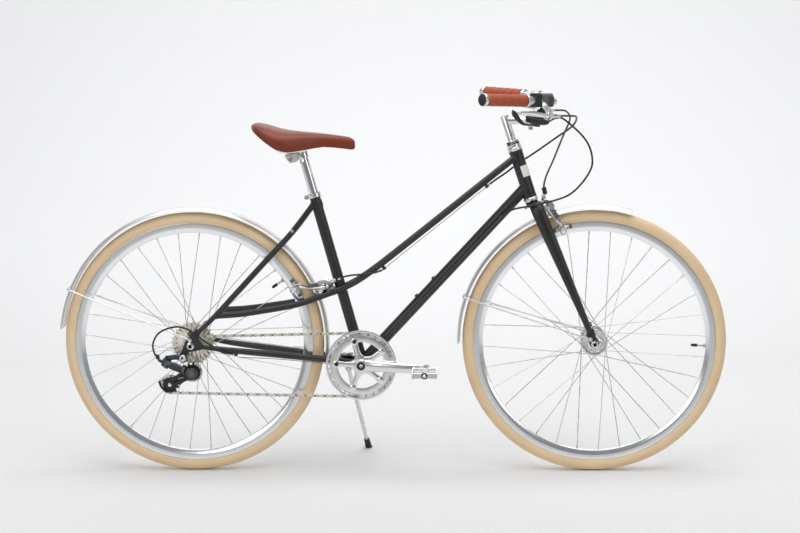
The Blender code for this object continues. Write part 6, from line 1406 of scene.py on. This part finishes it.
print("brakes, cockpit, cables and stand")
for end, values in brakes.items():
    makeBrake(end, **values)
makeStem()
makeBar()
for hand, side in (("right", -1), ("left", 1)):
    makeGrip(hand, side)
    makeLever(hand, side)
makeShifter()
makeCables()
makeStand()


# Room, light and camera
room = {"back": 1.45, "bend": 1.1, "near": -14.0, "far": 16.0, "half": 16.0, "high": 7.0}
camera = {"focal": 1910.1, "place": (0.2737, -4.9613, 1.5248), "yaw": 0.0501, "pitch": -0.1961, "roll": 0.0135}
lamps = {"ceilingSoft": {"place": (0.2, -0.6, 4.2), "target": (0, 0, 0.4), "size": (4.5, 3.5), "power": 118},
         "frontSoft": {"place": (-2.6, -4.2, 2.4), "target": (0, 0, 0.5), "size": (2.6, 2.2), "power": 38},
         "rightSoft": {"place": (3.4, -2.4, 2.0), "target": (0, 0, 0.5), "size": (1.6, 2.4), "power": 20},
         "leftSoft": {"place": (-4.4, -1.4, 1.7), "target": (0, 0, 0.5), "size": (2.2, 2.4), "power": 10},
         "wallWash": {"place": (0.0, 0.6, 3.6), "target": (0, 2.6, 1.6), "size": (5.0, 1.2), "power": 44}}


def addObject(name, data):
    thing = bpy.data.objects.new(name, data)
    bpy.context.scene.collection.objects.link(thing)
    return thing


def makeRoom():
    # a floor that curves up into the wall behind, by a quarter circle
    back, bend, sides = room["back"], room["bend"], (-room["half"], room["half"])
    profile = [(room["near"], 0.0), (back, 0.0)]
    profile += [(back + bend * math.sin(a), bend * (1 - math.cos(a))) for a in np.linspace(0.05, math.pi / 2, 24)]
    profile.append((back + bend, room["high"]))
    points = [(x, y, z) for y, z in profile for x in sides]
    faces = [(2 * k, 2 * k + 1, 2 * k + 3, 2 * k + 2) for k in range(len(profile) - 1)]
    # the floor goes on behind the wall for the views from there
    n = len(points)
    points += [(x, y, -0.002) for y in (back, room["far"]) for x in sides]
    faces.append((n, n + 1, n + 3, n + 2))
    mesh = bpy.data.meshes.new("studioFloor")
    mesh.from_pydata(points, [], faces)
    mesh.polygons.foreach_set("use_smooth", [True] * len(faces))
    m, t, s = shaderOf("paleFloor", (0.83, 0.84, 0.84), 0.75)
    depth = nodeOf(t, "ShaderNodeSeparateXYZ")
    feed(t, depth, Vector=objectPlace(t))
    # up the bend the colour runs from the floor's grey to a lighter wall: the wall's lighter colour is painted light
    near = mixed(t, noiseOf(t, 0.8, 3), (0.79, 0.79, 0.79), (0.77, 0.77, 0.77))
    feed(t, s, Base_Color=mixed(t, ranged(t, depth.outputs["Y"], 0, 1, 1.1, 2.1), near, (0.865, 0.865, 0.87)))
    # its back lets the view through, so the bike can be seen from every side
    mix, clear = nodeOf(t, "ShaderNodeMixShader"), nodeOf(t, "ShaderNodeBsdfTransparent")
    turned = nodeOf(t, "ShaderNodeNewGeometry").outputs["Backfacing"]
    for socket, value in zip(mix.inputs, (turned, s.outputs["BSDF"], clear.outputs["BSDF"])):
        t.links.new(value, socket)
    feed(t, t.nodes["Material Output"], Surface=mix.outputs["Shader"])
    mesh.materials.append(m)
    addObject("studioFloor", mesh)


def makeLamp(name, place, target, size, power):
    data = bpy.data.lights.new(name, "AREA")
    data.shape = "RECTANGLE"
    data.size, data.size_y = size
    data.energy = power
    lamp = addObject(name, data)
    lamp.visible_camera = False
    aim = (Vector(target) - Vector(place)).to_track_quat("-Z", "Y")
    lamp.matrix_world = Matrix.Translation(Vector(place)) @ aim.to_matrix().to_4x4()


def makeCamera():
    data = bpy.data.cameras.new("photoCamera")
    data.sensor_width = 36
    data.lens = camera["focal"] * 36 / 800
    data.clip_end = 60
    thing = addObject("photoCamera", data)
    turn = (Matrix.Rotation(camera["yaw"], 4, "Z") @ Matrix.Rotation(camera["pitch"], 4, "X")
            @ Matrix.Rotation(camera["roll"], 4, "Y") @ Matrix.Rotation(math.pi / 2, 4, "X"))
    thing.matrix_world = Matrix.Translation(camera["place"]) @ turn
    bpy.context.scene.camera = thing


print("room, light and camera")
makeRoom()
makeCamera()
for name, values in lamps.items():
    makeLamp(name, **values)
world = bpy.data.worlds.new("paleStudio")
bpy.context.scene.world = world
world.use_nodes = True
sky = world.node_tree.nodes["Background"]
sky.inputs["Color"].default_value = (0.93, 0.96, 1.0, 1)
sky.inputs["Strength"].default_value = 0.24
bpy.context.scene.view_settings.view_transform = "Standard"
